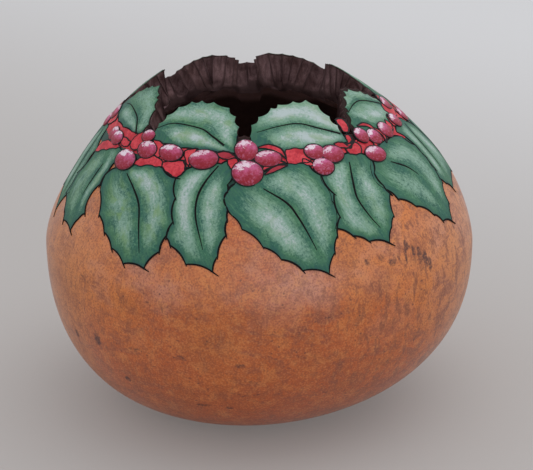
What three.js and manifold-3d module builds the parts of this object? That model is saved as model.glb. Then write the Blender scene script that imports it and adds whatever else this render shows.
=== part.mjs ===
// A kettle gourd bowl: a dried gourd with its top carved away in scallops, and a painted
// garland of holly leaves, berries and red ribbon around its shoulder.
// Millimetres, +Z up. The origin lies on the floor, under the middle of the widest part.
// Azimuths are degrees around +Z: 0 faces -Y, the front, and 90 faces +X.
// A place on the skin is an azimuth and a drop, the distance along the skin below the mouth circle.

import * as THREE from 'three';
import Module from 'manifold-3d';

const wasm = await Module();
wasm.setup();

// Sizes of the gourd shell

const BODY_WIDTH = 220;
const WIDEST_HEIGHT = 87.5;
const CROWN_RISE = 102; // from the widest height to where the uncut gourd would close
const CROWN_ROUNDNESS = 1.57; // superellipse power, 2 is an ellipse and less is more pointed
const BASE_ROUNDNESS = 2.42;
const FOOT_DIAMETER = 76;
const MOUTH_DIAMETER = 94; // the circle through the points of the carved rim
const RIND_THICKNESS = 2.5;
const WALL_AT_RIM = 15.5; // rind and corky wall together
const WALL_AT_BODY = 9.5;
const WALL_TAPER_LENGTH = 70; // along the skin, from the rim to where the wall is thin

// A gourd grows a little crooked: these move its level slices along X

const FOOT_SHIFT = -9.5;
const SHOULDER_SHIFT = 2;
const MOUTH_SHIFT = -3.4;

// The carved rim: one scallop between each pair of valleys, and small arcs along each scallop.
// A valley has the squareness of the scallop before it and of the one after it, and the degrees
// of its level bottom. Each was carved by hand, so no two are quite alike.

const VALLEYS = [
  { azimuth: -95, depth: 23, before: 1.6, after: 1.6, level: 4.5 },
  { azimuth: -50, depth: 24, before: 1.5, after: 2.2, level: 4.5 },
  { azimuth: -4.2, depth: 18.5, before: 3.6, after: 1.5, level: 3.6 },
  { azimuth: 43, depth: 24, before: 8, after: 1.4, level: 4.5 },
  { azimuth: 91, depth: 22, before: 1.8, after: 1.8, level: 4.5 },
  { azimuth: 140, depth: 14.5, before: 2.6, after: 2.2, level: 4.5 },
  { azimuth: 184, depth: 15, before: 4, after: 1.9, level: 7 },
  { azimuth: 233, depth: 22, before: 1.8, after: 2.1, level: 19 },
];
const ARCS_PER_SCALLOP = 6;
const ARC_DEPTH = 1.6;
const RIM_MARGIN = 4; // the skin follows the scallops down to this far below the deepest valley

// The painted coats

const LAYER_GAP = 0.3;
const PAINT_THICKNESS = 0.4;
const PAINT_MARGIN = 0.5; // bare line between neighbouring colours and along the rim
const RIBBON_CLEARANCE = 9; // from the deepest valley down to the middle of the ribbon
const RIBBON_WIDTH = 8;
const RIBBON_WAVE = 1.2;
const BERRY_RISE = 0.9;

// Lower leaves hang in pairs below the ribbon. Each has its base and tip as [azimuth, how far below
// the ribbon's middle], the bow of its midrib to the right seen from outside, and its left and
// right half widths. Of two leaves that meet, the one on the higher layer covers the other.

const LOWER_LEAVES = [
  { base: [-113, 7], tip: [-106, 53], bow: -6, left: 17, right: 17, layer: 1 },
  { base: [-92, 5], tip: [-81, 56], bow: 3, left: 20, right: 18, layer: 2 },
  { base: [-68, 7], tip: [-63, 55], bow: -7, left: 18, right: 17, layer: 3 },
  { base: [-51, 9], tip: [-31, 58], bow: 2, left: 24, right: 21, layer: 4 },
  { base: [-13, 2], tip: [-12, 55], bow: -11, left: 16, right: 15, layer: 2 },
  { base: [-3, 7], tip: [18, 57], bow: 5, left: 25, right: 22, layer: 5 },
  { base: [34, 1], tip: [37, 48], bow: -8, left: 19, right: 17, layer: 4 },
  { base: [49, 4], tip: [66, 52], bow: 5, left: 22, right: 21, layer: 3 },
  { base: [85, -1], tip: [78, 41], bow: -4, left: 16, right: 18, layer: 2 },
  { base: [103, 3], tip: [106, 51], bow: 5, left: 18, right: 18, layer: 1 },
  { base: [128, 5], tip: [127, 54], bow: -7, left: 18, right: 18, layer: 3 },
  { base: [140, 5], tip: [156, 55], bow: 5, left: 20, right: 20, layer: 2 },
  { base: [176, 3], tip: [176, 53], bow: -7, left: 18, right: 18, layer: 4 },
  { base: [187, 5], tip: [204, 56], bow: 5, left: 21, right: 20, layer: 3 },
  { base: [221, 3], tip: [221, 51], bow: -7, left: 17, right: 17, layer: 2 },
  { base: [231, 5], tip: [243, 55], bow: 4, left: 17, right: 17, layer: 3 },
];
const TEETH_PER_SIDE = 5;
const TOOTH_DEPTH = 2.2;
const WIDEST_PART = 0.36; // share of a lower leaf's length
const LEAF_BASE_FULLNESS = 2.5;
const LEAF_TIP_FULLNESS = 2.1;
const TIP_WIDTH = 1.6;

// Upper leaves fill the scallops, from the rim down to the ribbon

const LEAF_END = 0.03; // share of a scallop left bare at each end of its leaf
const LEAF_END_FULLNESS = 0.3; // how fast a leaf widens from its ends, less is faster

// Berries sit in clusters along the ribbon. Each berry is [how far right of the cluster's
// azimuth, how far below the ribbon's middle, diameter].

const BERRY_CLUSTERS = [
  { azimuth: -79, berries: [[-13.5, -4, 9], [-15.5, 5.5, 9], [6.5, 0.5, 8], [16, 4, 9]] },
  { azimuth: -48, berries: [[-6.5, 10.2, 12.5], [3, 1.7, 10.5], [-0.8, -7.4, 7.5], [18, 0, 11]] },
  { azimuth: -4, berries: [[-20, 0.6, 12.5], [0.4, -6.5, 11], [0.7, 6.6, 14], [11.6, -1.5, 10.5]] },
  { azimuth: 27, berries: [[-5.4, -4, 9], [4.6, -1, 10], [-3.6, 6, 9.5]] },
  { azimuth: 52, berries: [[-4.8, 5, 10.5], [-5.6, -6, 8.2], [4, -3.2, 8.6], [15.2, -3.2, 9.3]] },
  { azimuth: 92, berries: [[-18, -3.2, 8.8], [2.5, 1, 9], [-2, -9.6, 9]] },
  { azimuth: 134, berries: [[-15, -1, 10], [-2.7, 5, 11], [5, -4.5, 10], [20, 1, 10]] },
  { azimuth: 180, berries: [[-12.5, -1, 9.5], [-1.3, 6, 11], [5, -4.5, 10.5]] },
  { azimuth: 222, berries: [[-24, 0, 10], [-2.7, 5, 10.5], [8.6, -3, 10]] },
];
const BERRY_EDGE_SHARE = 0.33; // of a berry's rise, where its side turns into the dome
const BERRY_SHOULDER = { radius: 0.6, rise: 0.85 }; // shares of its radius and rise

// Mesh fineness

const PROFILE_STEPS = 300;
const SAMPLES_PER_ARC = 3;
const RIM_ROWS = 2;
const BODY_ROWS = 13;
const UPPER_LEAF_ROWS = 3;
const COLUMNS_PER_ARC = 2; // on the leaves, so that every tooth and every hollow gets one
const RIBBON_STEPS = 72;
const BERRY_SIDES = 10;
const SLOPE_REACH = 0.8; // the slope of the side view is taken between points this far up and down

const BODY_RADIUS = BODY_WIDTH / 2;
const FOOT_RADIUS = FOOT_DIAMETER / 2;
const MOUTH_RADIUS = MOUTH_DIAMETER / 2;
const SCALLOPS = VALLEYS.length;
const DEEPEST_VALLEY = Math.max(...VALLEYS.map((valley) => valley.depth));
const RIM_ZONE = DEEPEST_VALLEY + RIM_MARGIN;
const RIBBON_DROP = DEEPEST_VALLEY + RIBBON_CLEARANCE;
const COAT_BOTTOM = LAYER_GAP;
const COAT_TOP = COAT_BOTTOM + PAINT_THICKNESS;

// The side view of the skin

// The lower arc is cut off by the foot, so its full depth is worked out from the foot's radius.
const BASE_DEPTH = WIDEST_HEIGHT
  / (1 - (FOOT_RADIUS / BODY_RADIUS) ** BASE_ROUNDNESS) ** (1 / BASE_ROUNDNESS);

function superellipse(rise, roundness, turn) {
  return {
    radius: BODY_RADIUS * Math.cos(turn) ** (2 / roundness),
    rise: rise * Math.sin(turn) ** (2 / roundness),
  };
}

function traceProfile() {
  const footTurn = Math.acos((FOOT_RADIUS / BODY_RADIUS) ** (BASE_ROUNDNESS / 2));
  const points = [];
  for (let i = 1; i <= PROFILE_STEPS; i += 1) {
    const arc = superellipse(CROWN_RISE, CROWN_ROUNDNESS, (Math.PI / 2) * (1 - i / PROFILE_STEPS));
    points.push({ radius: arc.radius, height: WIDEST_HEIGHT + arc.rise });
  }
  for (let i = 1; i <= PROFILE_STEPS; i += 1) {
    const arc = superellipse(BASE_DEPTH, BASE_ROUNDNESS, footTurn * (i / PROFILE_STEPS));
    points.push({ radius: arc.radius, height: WIDEST_HEIGHT - arc.rise });
  }
  let length = 0;
  let mouthLength = 0;
  points.forEach((point, i) => {
    if (i > 0) {
      const last = points[i - 1];
      length += Math.hypot(point.radius - last.radius, point.height - last.height);
      if (last.radius < MOUTH_RADIUS && point.radius >= MOUTH_RADIUS) mouthLength = length;
    }
    point.length = length;
  });
  points.forEach((point) => {
    point.drop = point.length - mouthLength;
  });
  return points;
}

const PROFILE = traceProfile();
const FOOT_DROP = PROFILE[PROFILE.length - 1].drop;

function sideViewAt(drop) {
  let low = 0;
  let high = PROFILE.length - 1;
  while (high - low > 1) {
    const middle = (low + high) >> 1;
    if (PROFILE[middle].drop > drop) high = middle;
    else low = middle;
  }
  const a = PROFILE[low];
  const b = PROFILE[high];
  const share = THREE.MathUtils.clamp((drop - a.drop) / (b.drop - a.drop), 0, 1);
  return {
    radius: THREE.MathUtils.lerp(a.radius, b.radius, share),
    height: THREE.MathUtils.lerp(a.height, b.height, share),
  };
}

// The unit normal of the side view: outward is its share away from the axis, upward along +Z.
function normalAt(drop) {
  const above = sideViewAt(drop - SLOPE_REACH);
  const below = sideViewAt(Math.min(drop + SLOPE_REACH, FOOT_DROP));
  const run = below.radius - above.radius;
  const fall = above.height - below.height;
  const size = Math.hypot(run, fall);
  return { outward: fall / size, upward: run / size };
}

function sliceShift(height) {
  const below = THREE.MathUtils.clamp((WIDEST_HEIGHT - height) / WIDEST_HEIGHT, 0, 1);
  const mouthHeight = sideViewAt(0).height;
  const above = THREE.MathUtils.clamp(
    (height - WIDEST_HEIGHT) / (mouthHeight - WIDEST_HEIGHT), 0, 1);
  return FOOT_SHIFT * below ** 3
    + SHOULDER_SHIFT * Math.sin(Math.PI * above) ** 2
    + MOUTH_SHIFT * above ** 2;
}

// A point over (or with a negative offset under) the skin. The floor of the hollow is level.
function skinPoint(azimuth, drop, offset) {
  const side = sideViewAt(drop);
  const normal = normalAt(drop);
  const turn = THREE.MathUtils.degToRad(azimuth);
  const radius = side.radius + offset * normal.outward;
  const height = Math.max(side.height + offset * normal.upward, -offset);
  const shift = sliceShift(side.height);
  return new THREE.Vector3(
    radius * Math.sin(turn) + shift,
    -radius * Math.cos(turn),
    height,
  );
}

// The carved rim

function valleysBeside(scallop) {
  const next = (scallop + 1) % SCALLOPS;
  const lap = next === 0 ? 360 : 0;
  const to = VALLEYS[next];
  return [VALLEYS[scallop], { ...to, azimuth: to.azimuth + lap }];
}

function columnAzimuth(scallop, share) {
  const [from, to] = valleysBeside(scallop);
  return THREE.MathUtils.lerp(from.azimuth, to.azimuth, share);
}

function rimDrop(scallop, share) {
  const [from, to] = valleysBeside(scallop);
  const depth = THREE.MathUtils.lerp(from.depth, to.depth, share);
  const squareness = share < 0.5 ? from.after : to.before;
  const level = share < 0.5 ? from.level : to.level;
  const levelShare = level / (to.azimuth - from.azimuth);
  const reach = Math.min(1, Math.abs(2 * share - 1) / (1 - levelShare));
  const dome = Math.sqrt(1 - reach ** squareness);
  const arc = Math.abs(Math.sin(Math.PI * ARCS_PER_SCALLOP * share));
  return depth * (1 - dome) + ARC_DEPTH * arc * dome;
}

function wallDepth(drop) {
  const thin = THREE.MathUtils.smoothstep(drop, 0, WALL_TAPER_LENGTH);
  return THREE.MathUtils.lerp(WALL_AT_RIM, WALL_AT_BODY, thin);
}

// Geometry helpers

function indexedGeometry(points, triangles) {
  const geometry = new THREE.BufferGeometry();
  const positions = new Float32Array(points.flatMap((point) => [point.x, point.y, point.z]));
  geometry.setAttribute('position', new THREE.BufferAttribute(positions, 3));
  geometry.setIndex(triangles.flat());
  geometry.computeVertexNormals();
  return geometry;
}

// Joins two rings whose counts are equal, or where the second ring has `ratio` times as many.
function joinRings(triangles, first, second, count, ratio, flip) {
  const add = (a, b, c) => triangles.push(flip ? [a, c, b] : [a, b, c]);
  for (let i = 0; i < count; i += 1) {
    const here = first + i;
    const next = first + ((i + 1) % count);
    for (let j = 0; j < ratio; j += 1) {
      const upHere = second + i * ratio + j;
      const upNext = second + ((i * ratio + j + 1) % (count * ratio));
      add(here, upNext, upHere);
    }
    add(here, next, second + ((i + 1) * ratio) % (count * ratio));
  }
}

// A closed layer of the shell between two depths under the skin, open at the carved mouth

function shellGeometry(outerDepth, innerDepth) {
  const points = [];
  const triangles = [];
  const coarse = SCALLOPS * ARCS_PER_SCALLOP;
  const fine = coarse * SAMPLES_PER_ARC;

  function addRing(count, dropAt, depthAt) {
    const start = points.length;
    for (let i = 0; i < count; i += 1) {
      const place = (i / count) * SCALLOPS;
      const scallop = Math.floor(place);
      const drop = dropAt(scallop, place - scallop);
      points.push(skinPoint(columnAzimuth(scallop, place - scallop), drop, -depthAt(drop)));
    }
    return start;
  }

  function addSurface(depthAt, flip) {
    const footDepth = depthAt(FOOT_DROP);
    const centre = points.length;
    points.push(new THREE.Vector3(FOOT_SHIFT, 0, footDepth));
    let ring = addRing(coarse, () => FOOT_DROP, depthAt);
    for (let i = 0; i < coarse; i += 1) {
      const pair = [ring + i, ring + ((i + 1) % coarse)];
      triangles.push(flip ? [centre, pair[0], pair[1]] : [centre, pair[1], pair[0]]);
    }
    for (let row = 1; row < BODY_ROWS; row += 1) {
      const drop = THREE.MathUtils.lerp(FOOT_DROP, RIM_ZONE, row / BODY_ROWS);
      const next = addRing(coarse, () => drop, depthAt);
      joinRings(triangles, ring, next, coarse, 1, flip);
      ring = next;
    }
    let fineRing = addRing(fine, () => RIM_ZONE, depthAt);
    joinRings(triangles, ring, fineRing, coarse, SAMPLES_PER_ARC, flip);
    for (let row = 1; row <= RIM_ROWS; row += 1) {
      const up = row / RIM_ROWS;
      const dropAt = (scallop, share) => (
        THREE.MathUtils.lerp(RIM_ZONE, rimDrop(scallop, share), up));
      const next = addRing(fine, dropAt, depthAt);
      joinRings(triangles, fineRing, next, fine, 1, flip);
      fineRing = next;
    }
    return fineRing;
  }

  const outerEdge = addSurface(outerDepth, false);
  const innerEdge = addSurface(innerDepth, true);
  joinRings(triangles, outerEdge, innerEdge, fine, 1, false);
  return indexedGeometry(points, triangles);
}

// A thin coat over a patch of skin. Each column of the grid runs from one edge to the other.

function coatGeometry(grid, bottom, top) {
  const points = [];
  const triangles = [];
  const columns = grid.length;
  const rows = grid[0].length;
  for (const offset of [bottom, top]) {
    for (const column of grid) {
      for (const place of column) points.push(skinPoint(place[0], place[1], offset));
    }
  }
  const at = (layer, column, row) => (layer * columns + column) * rows + row;
  const quad = (a, b, c, d) => triangles.push([a, b, c], [a, c, d]);
  for (let i = 0; i < columns - 1; i += 1) {
    for (let j = 0; j < rows - 1; j += 1) {
      quad(at(1, i, j), at(1, i, j + 1), at(1, i + 1, j + 1), at(1, i + 1, j));
      quad(at(0, i, j), at(0, i + 1, j), at(0, i + 1, j + 1), at(0, i, j + 1));
    }
    quad(at(0, i, 0), at(1, i, 0), at(1, i + 1, 0), at(0, i + 1, 0));
    quad(at(0, i, rows - 1), at(0, i + 1, rows - 1), at(1, i + 1, rows - 1), at(1, i, rows - 1));
  }
  for (let j = 0; j < rows - 1; j += 1) {
    quad(at(0, 0, j), at(0, 0, j + 1), at(1, 0, j + 1), at(1, 0, j));
    const end = columns - 1;
    quad(at(0, end, j), at(1, end, j), at(1, end, j + 1), at(0, end, j + 1));
  }
  return indexedGeometry(points, triangles);
}

function toSolid(geometry) {
  return new wasm.Manifold(new wasm.Mesh({
    numProp: 3,
    vertProperties: geometry.attributes.position.array,
    triVerts: new Uint32Array(geometry.index.array),
  }));
}

function fromSolid(solid) {
  const mesh = solid.getMesh();
  const geometry = new THREE.BufferGeometry();
  geometry.setAttribute('position', new THREE.BufferAttribute(mesh.vertProperties, 3));
  geometry.setIndex(Array.from(mesh.triVerts));
  geometry.computeVertexNormals();
  return geometry;
}

function largestPiece(solid) {
  const pieces = solid.decompose();
  pieces.sort((a, b) => b.volume() - a.volume());
  return pieces[0];
}

// The ribbon that the berries sit on

function ribbonEdge(azimuth, side, margin) {
  const wave = RIBBON_WAVE * Math.cos(THREE.MathUtils.degToRad(SCALLOPS * azimuth));
  return RIBBON_DROP + wave + side * (RIBBON_WIDTH / 2 + margin);
}

function ribbonGeometry(margin, bottom, top) {
  const points = [];
  const triangles = [];
  const sides = [[-1, top], [1, top], [1, bottom], [-1, bottom]];
  for (let i = 0; i < RIBBON_STEPS; i += 1) {
    const azimuth = (i / RIBBON_STEPS) * 360;
    for (const [side, offset] of sides) {
      points.push(skinPoint(azimuth, ribbonEdge(azimuth, side, margin), offset));
    }
  }
  for (let i = 0; i < RIBBON_STEPS; i += 1) {
    const next = (i + 1) % RIBBON_STEPS;
    for (let j = 0; j < sides.length; j += 1) {
      const k = (j + 1) % sides.length;
      const [a, b] = [i * sides.length + j, i * sides.length + k];
      const [c, d] = [next * sides.length + k, next * sides.length + j];
      triangles.push([a, b, c], [a, c, d]);
    }
  }
  return indexedGeometry(points, triangles);
}

// Upper leaves lie along the rim, one on each scallop, with the rim's arcs as their teeth

function upperLeafGeometry(scallop) {
  const steps = ARCS_PER_SCALLOP * COLUMNS_PER_ARC;
  const grid = [];
  for (let i = 0; i <= steps; i += 1) {
    const share = THREE.MathUtils.lerp(LEAF_END, 1 - LEAF_END, i / steps);
    const azimuth = columnAzimuth(scallop, share);
    const upper = rimDrop(scallop, share) + PAINT_MARGIN;
    const lower = ribbonEdge(azimuth, -1, PAINT_MARGIN);
    const fullness = Math.sin(Math.PI * share) ** LEAF_END_FULLNESS;
    const bottom = THREE.MathUtils.lerp(upper + TIP_WIDTH, lower, fullness);
    const column = [];
    for (let j = 0; j <= UPPER_LEAF_ROWS; j += 1) {
      column.push([azimuth, THREE.MathUtils.lerp(upper, bottom, j / UPPER_LEAF_ROWS)]);
    }
    grid.push(column);
  }
  return coatGeometry(grid, COAT_BOTTOM, COAT_TOP);
}

// Lower leaves: a bowed midrib, a full base, a pointed tip and hollow arcs between the teeth

function leafHalfWidth(share, width) {
  const outline = share < WIDEST_PART
    ? Math.sqrt(1 - (1 - share / WIDEST_PART) ** LEAF_BASE_FULLNESS)
    : 1 - ((share - WIDEST_PART) / (1 - WIDEST_PART)) ** LEAF_TIP_FULLNESS;
  const tooth = Math.abs(Math.sin(Math.PI * TEETH_PER_SIDE * share));
  return Math.max(width * outline - TOOTH_DEPTH * tooth, TIP_WIDTH / 2);
}

function lowerLeafGrid(leaf, margin) {
  const steps = TEETH_PER_SIDE * COLUMNS_PER_ARC;
  const middle = (leaf.base[0] + leaf.tip[0]) / 2;
  const flatten = ([azimuth, below]) => {
    const drop = RIBBON_DROP + below;
    return new THREE.Vector2(
      THREE.MathUtils.degToRad(azimuth - middle) * sideViewAt(drop).radius, drop);
  };
  const base = flatten(leaf.base);
  const tip = flatten(leaf.tip);
  const chord = tip.clone().sub(base);
  const length = chord.length();
  const along = chord.clone().normalize();
  const right = new THREE.Vector2(along.y, -along.x);
  const grid = [];
  for (let i = 0; i <= steps; i += 1) {
    const share = i / steps;
    const reach = THREE.MathUtils.lerp(-margin, length + margin, share);
    const midrib = base.clone()
      .addScaledVector(along, reach)
      .addScaledVector(right, leaf.bow * 4 * share * (1 - share));
    const lean = leaf.bow * 4 * (1 - 2 * share) / length;
    const across = right.clone().addScaledVector(along, -lean).normalize();
    const column = [];
    for (const part of [1, 0.5, 0, -0.5, -1]) {
      const width = leafHalfWidth(share, part < 0 ? leaf.left : leaf.right) + margin;
      const place = midrib.clone().addScaledVector(across, part * width);
      const azimuth = middle
        + THREE.MathUtils.radToDeg(place.x / sideViewAt(place.y).radius);
      column.push([azimuth, place.y]);
    }
    grid.push(column);
  }
  return grid;
}

// A leaf that lies under its neighbours is cut back where they and the ribbon cover it.
function lowerLeafSolid(leaf, index) {
  const cutBottom = COAT_BOTTOM - 1;
  const cutTop = COAT_TOP + 1;
  let solid = toSolid(coatGeometry(lowerLeafGrid(leaf, 0), COAT_BOTTOM, COAT_TOP));
  solid = solid.subtract(toSolid(ribbonGeometry(PAINT_MARGIN, cutBottom, cutTop)));
  LOWER_LEAVES.forEach((other, otherIndex) => {
    const sameLayer = other.layer === leaf.layer && otherIndex < index;
    if (other.layer > leaf.layer || sameLayer) {
      const cutter = coatGeometry(lowerLeafGrid(other, PAINT_MARGIN), cutBottom, cutTop);
      solid = solid.subtract(toSolid(cutter));
    }
  });
  return largestPiece(solid);
}

// Berries are low round domes on top of the painted coats

function berryGeometry(diameter) {
  const radius = diameter / 2;
  const outline = [
    new THREE.Vector2(0, 0),
    new THREE.Vector2(radius, 0),
    new THREE.Vector2(radius, BERRY_RISE * BERRY_EDGE_SHARE),
    new THREE.Vector2(radius * BERRY_SHOULDER.radius, BERRY_RISE * BERRY_SHOULDER.rise),
    new THREE.Vector2(0, BERRY_RISE),
  ];
  return new THREE.LatheGeometry(outline, BERRY_SIDES);
}

// Materials

const RIND = new THREE.MeshStandardMaterial({ color: 0xb5703f, roughness: 0.45, metalness: 0 });
const WALL = new THREE.MeshStandardMaterial({ color: 0x3a2522, roughness: 0.85, metalness: 0 });
const LEAF = new THREE.MeshStandardMaterial({ color: 0x3f7a5c, roughness: 0.5, metalness: 0 });
const RIBBON = new THREE.MeshStandardMaterial({ color: 0xc23a47, roughness: 0.5, metalness: 0 });
const BERRY = new THREE.MeshStandardMaterial({ color: 0xa03a50, roughness: 0.4, metalness: 0 });

function piece(name, geometry, material) {
  const mesh = new THREE.Mesh(geometry, material);
  mesh.name = name;
  return mesh;
}

// Assembly

const gourd = new THREE.Group();
const shell = new THREE.Group();
const garland = new THREE.Group();
gourd.add(shell, garland);

const rindDepth = () => RIND_THICKNESS;
const wallTop = () => RIND_THICKNESS + LAYER_GAP;
shell.add(piece('outer_skin', shellGeometry(() => 0, rindDepth), RIND));
shell.add(piece('inner_wall', shellGeometry(wallTop, wallDepth), WALL));

for (let i = 0; i < SCALLOPS; i += 1) {
  garland.add(piece(`upper_leaf_${i + 1}`, upperLeafGeometry(i), LEAF));
}
LOWER_LEAVES.forEach((leaf, i) => {
  garland.add(piece(`lower_leaf_${i + 1}`, fromSolid(lowerLeafSolid(leaf, i)), LEAF));
});
garland.add(piece('ribbon', ribbonGeometry(0, COAT_BOTTOM, COAT_TOP), RIBBON));

const latheAxis = new THREE.Vector3(0, 1, 0);
const berrySeat = COAT_TOP + LAYER_GAP;
let berryCount = 0;
for (const cluster of BERRY_CLUSTERS) {
  for (const [along, below, diameter] of cluster.berries) {
    const drop = RIBBON_DROP + below;
    const azimuth = cluster.azimuth + THREE.MathUtils.radToDeg(along / sideViewAt(drop).radius);
    const seat = skinPoint(azimuth, drop, berrySeat);
    const outward = skinPoint(azimuth, drop, berrySeat + 1).sub(seat).normalize();
    berryCount += 1;
    const berry = piece(`berry_${berryCount}`, berryGeometry(diameter), BERRY);
    berry.position.copy(seat);
    berry.quaternion.setFromUnitVectors(latheAxis, outward);
    garland.add(berry);
  }
}

export default gourd;
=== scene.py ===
# %% [markdown]
# # A carved and painted gourd bowl
#
# The object is one dried gourd. Its top is cut away in eight scallops, the cut wall is gouged into
# flutes and stained, and a garland of holly, berries and ribbon is painted around its shoulder.
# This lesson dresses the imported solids: each thin coat of paint, the rind and the carved wall get a
# fine mesh of their own, in the place of the plain solid that stands for it.
#
# Sizes are millimetres up to the moment when a mesh is made, and metres in Blender.

# %% Load the frame
import math

import bmesh
import bpy
import numpy as np
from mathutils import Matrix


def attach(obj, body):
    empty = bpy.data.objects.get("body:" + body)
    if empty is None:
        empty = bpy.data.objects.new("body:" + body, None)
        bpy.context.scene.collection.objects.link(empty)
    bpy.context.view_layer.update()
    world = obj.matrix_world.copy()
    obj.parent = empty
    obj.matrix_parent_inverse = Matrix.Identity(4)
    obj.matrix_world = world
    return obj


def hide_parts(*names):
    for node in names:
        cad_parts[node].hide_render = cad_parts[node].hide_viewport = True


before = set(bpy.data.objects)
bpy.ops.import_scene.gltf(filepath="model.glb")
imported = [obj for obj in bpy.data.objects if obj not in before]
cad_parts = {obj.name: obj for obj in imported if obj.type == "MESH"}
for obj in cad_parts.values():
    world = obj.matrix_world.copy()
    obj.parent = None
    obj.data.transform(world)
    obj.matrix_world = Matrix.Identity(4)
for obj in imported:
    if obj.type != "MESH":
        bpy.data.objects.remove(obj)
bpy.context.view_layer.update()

# %% [markdown]
# ## The camera
#
# A photograph of a round thing is matched from its outline. The camera looks down about 21 degrees
# from one metre away through a long lens, and the frame is 533 pixels wide. The focal length in
# pixels over the frame's width gives Blender's lens in millimetres of a 36 mm sensor. The camera
# comes first, so that every later piece can be judged from it.

# %% Set the camera
MM = 0.001
FRAME_WIDTH = 533
FOCAL_PIXELS = 1924
SENSOR_WIDTH = 36
CAMERA_DISTANCE = 1000
CAMERA_ELEVATION = math.radians(20.78)
CAMERA_TARGET = (3.83, 0, 86.33)
CAMERA_REACH = 20

camera = bpy.data.objects.new("camera", bpy.data.cameras.new("camera"))
camera.data.sensor_width = SENSOR_WIDTH
camera.data.lens = FOCAL_PIXELS / FRAME_WIDTH * SENSOR_WIDTH
camera.data.clip_end = CAMERA_REACH
camera.location = (
    CAMERA_TARGET[0] * MM,
    -CAMERA_DISTANCE * math.cos(CAMERA_ELEVATION) * MM,
    (CAMERA_TARGET[2] + CAMERA_DISTANCE * math.sin(CAMERA_ELEVATION)) * MM,
)
camera.rotation_euler = (math.pi / 2 - CAMERA_ELEVATION, 0, 0)
bpy.context.scene.collection.objects.link(camera)
bpy.context.scene.camera = camera
print("lens:", round(camera.data.lens, 1), "mm")

# %% [markdown]
# ## The skin as a surface
#
# Everything on a gourd sits on its skin, so the skin is written once, as a formula. A place on it
# has an azimuth, in degrees around the upright axis with 0 at the front, and a drop, the distance
# along the skin below the circle through the points of the rim. Its side view is two superellipses,
# one above the widest height and one below, because a real gourd is flatter at its base than a
# ball and more pointed towards its stem. A scanned outline would need a table of points. A formula
# has a handful of sizes, and can be asked for a point anywhere.

# %% Sizes of the shell
BODY_RADIUS = 110
WIDEST_HEIGHT = 87.5
CROWN_RISE = 102
CROWN_ROUNDNESS = 1.57
BASE_ROUNDNESS = 2.42
FOOT_RADIUS = 38
MOUTH_RADIUS = 47
RIND_THICKNESS = 2.5
WALL_AT_RIM = 15.5
WALL_AT_BODY = 9.5
WALL_TAPER_LENGTH = 70
FOOT_SHIFT = -9.5
SHOULDER_SHIFT = 2
MOUTH_SHIFT = -3.4
PROFILE_STEPS = 300
SLOPE_REACH = 0.8
FOOT_SHARE = FOOT_RADIUS / BODY_RADIUS
BASE_DEPTH = WIDEST_HEIGHT / (1 - FOOT_SHARE ** BASE_ROUNDNESS) ** (1 / BASE_ROUNDNESS)

# %% Trace the side view
def trace_profile():
    """Drop, radius and height along the side view, from the crown down to the foot."""
    steps = np.arange(1, PROFILE_STEPS + 1) / PROFILE_STEPS
    foot_turn = math.acos(FOOT_SHARE ** (BASE_ROUNDNESS / 2))
    crown = (math.pi / 2) * (1 - steps)
    base = foot_turn * steps
    radius = BODY_RADIUS * np.concatenate([
        np.cos(crown) ** (2 / CROWN_ROUNDNESS),
        np.cos(base) ** (2 / BASE_ROUNDNESS),
    ])
    height = WIDEST_HEIGHT + np.concatenate([
        CROWN_RISE * np.sin(crown) ** (2 / CROWN_ROUNDNESS),
        -BASE_DEPTH * np.sin(base) ** (2 / BASE_ROUNDNESS),
    ])
    length = np.concatenate([[0], np.cumsum(np.hypot(np.diff(radius), np.diff(height)))])
    mouth = length[np.argmax(radius >= MOUTH_RADIUS)]
    return length - mouth, radius, height


DROPS, RADII, HEIGHTS = trace_profile()
FOOT_DROP = float(DROPS[-1])
MOUTH_HEIGHT = float(np.interp(0, DROPS, HEIGHTS))
print("skin length:", round(FOOT_DROP, 1), "mm, rim height:", round(MOUTH_HEIGHT, 1), "mm")

# %% [markdown]
# A grown shell isn't quite round. Its level slices wander sideways, and low swellings and flats
# lie under the skin. The swellings are a short list of soft bumps, each with its azimuth, drop,
# rise and spread, and they fade out just above the foot. They move the skin and with it every coat
# that is painted on it.

# %% A point on the skin
SWELLINGS = [
    (-38, 152, 1.6, 26),
    (24, 160, -1.2, 26),
    (70, 120, 0.5, 40),
    (150, 110, -0.8, 45),
    (-120, 130, 0.8, 40),
    (-10, 75, 0.4, 30),
    (200, 60, 0.5, 35),
]
SWELLING_FADE = 10
RIBBON_DROP = 33


def radius_at(drop):
    return np.interp(drop, DROPS, RADII)


def turn_from(centre, azimuth):
    """Degrees from one azimuth to another, the short way round."""
    return (azimuth - centre + 180) % 360 - 180


def right_of(centre, azimuth, drop):
    """Millimetres around the skin from one azimuth to another, at a drop."""
    return np.radians(turn_from(centre, azimuth)) * radius_at(drop)


def swelling_at(azimuth, drop):
    rise = np.zeros(np.broadcast(azimuth, drop).shape)
    for centre, depth, height, spread in SWELLINGS:
        across = right_of(centre, azimuth, drop)
        rise = rise + height * np.exp(-(across ** 2 + (drop - depth) ** 2) / spread ** 2)
    return rise


def slice_shift(height):
    below = np.clip((WIDEST_HEIGHT - height) / WIDEST_HEIGHT, 0, 1)
    above = np.clip((height - WIDEST_HEIGHT) / (MOUTH_HEIGHT - WIDEST_HEIGHT), 0, 1)
    shift = FOOT_SHIFT * below ** 3 + MOUTH_SHIFT * above ** 2
    return shift + SHOULDER_SHIFT * np.sin(math.pi * above) ** 2


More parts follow.
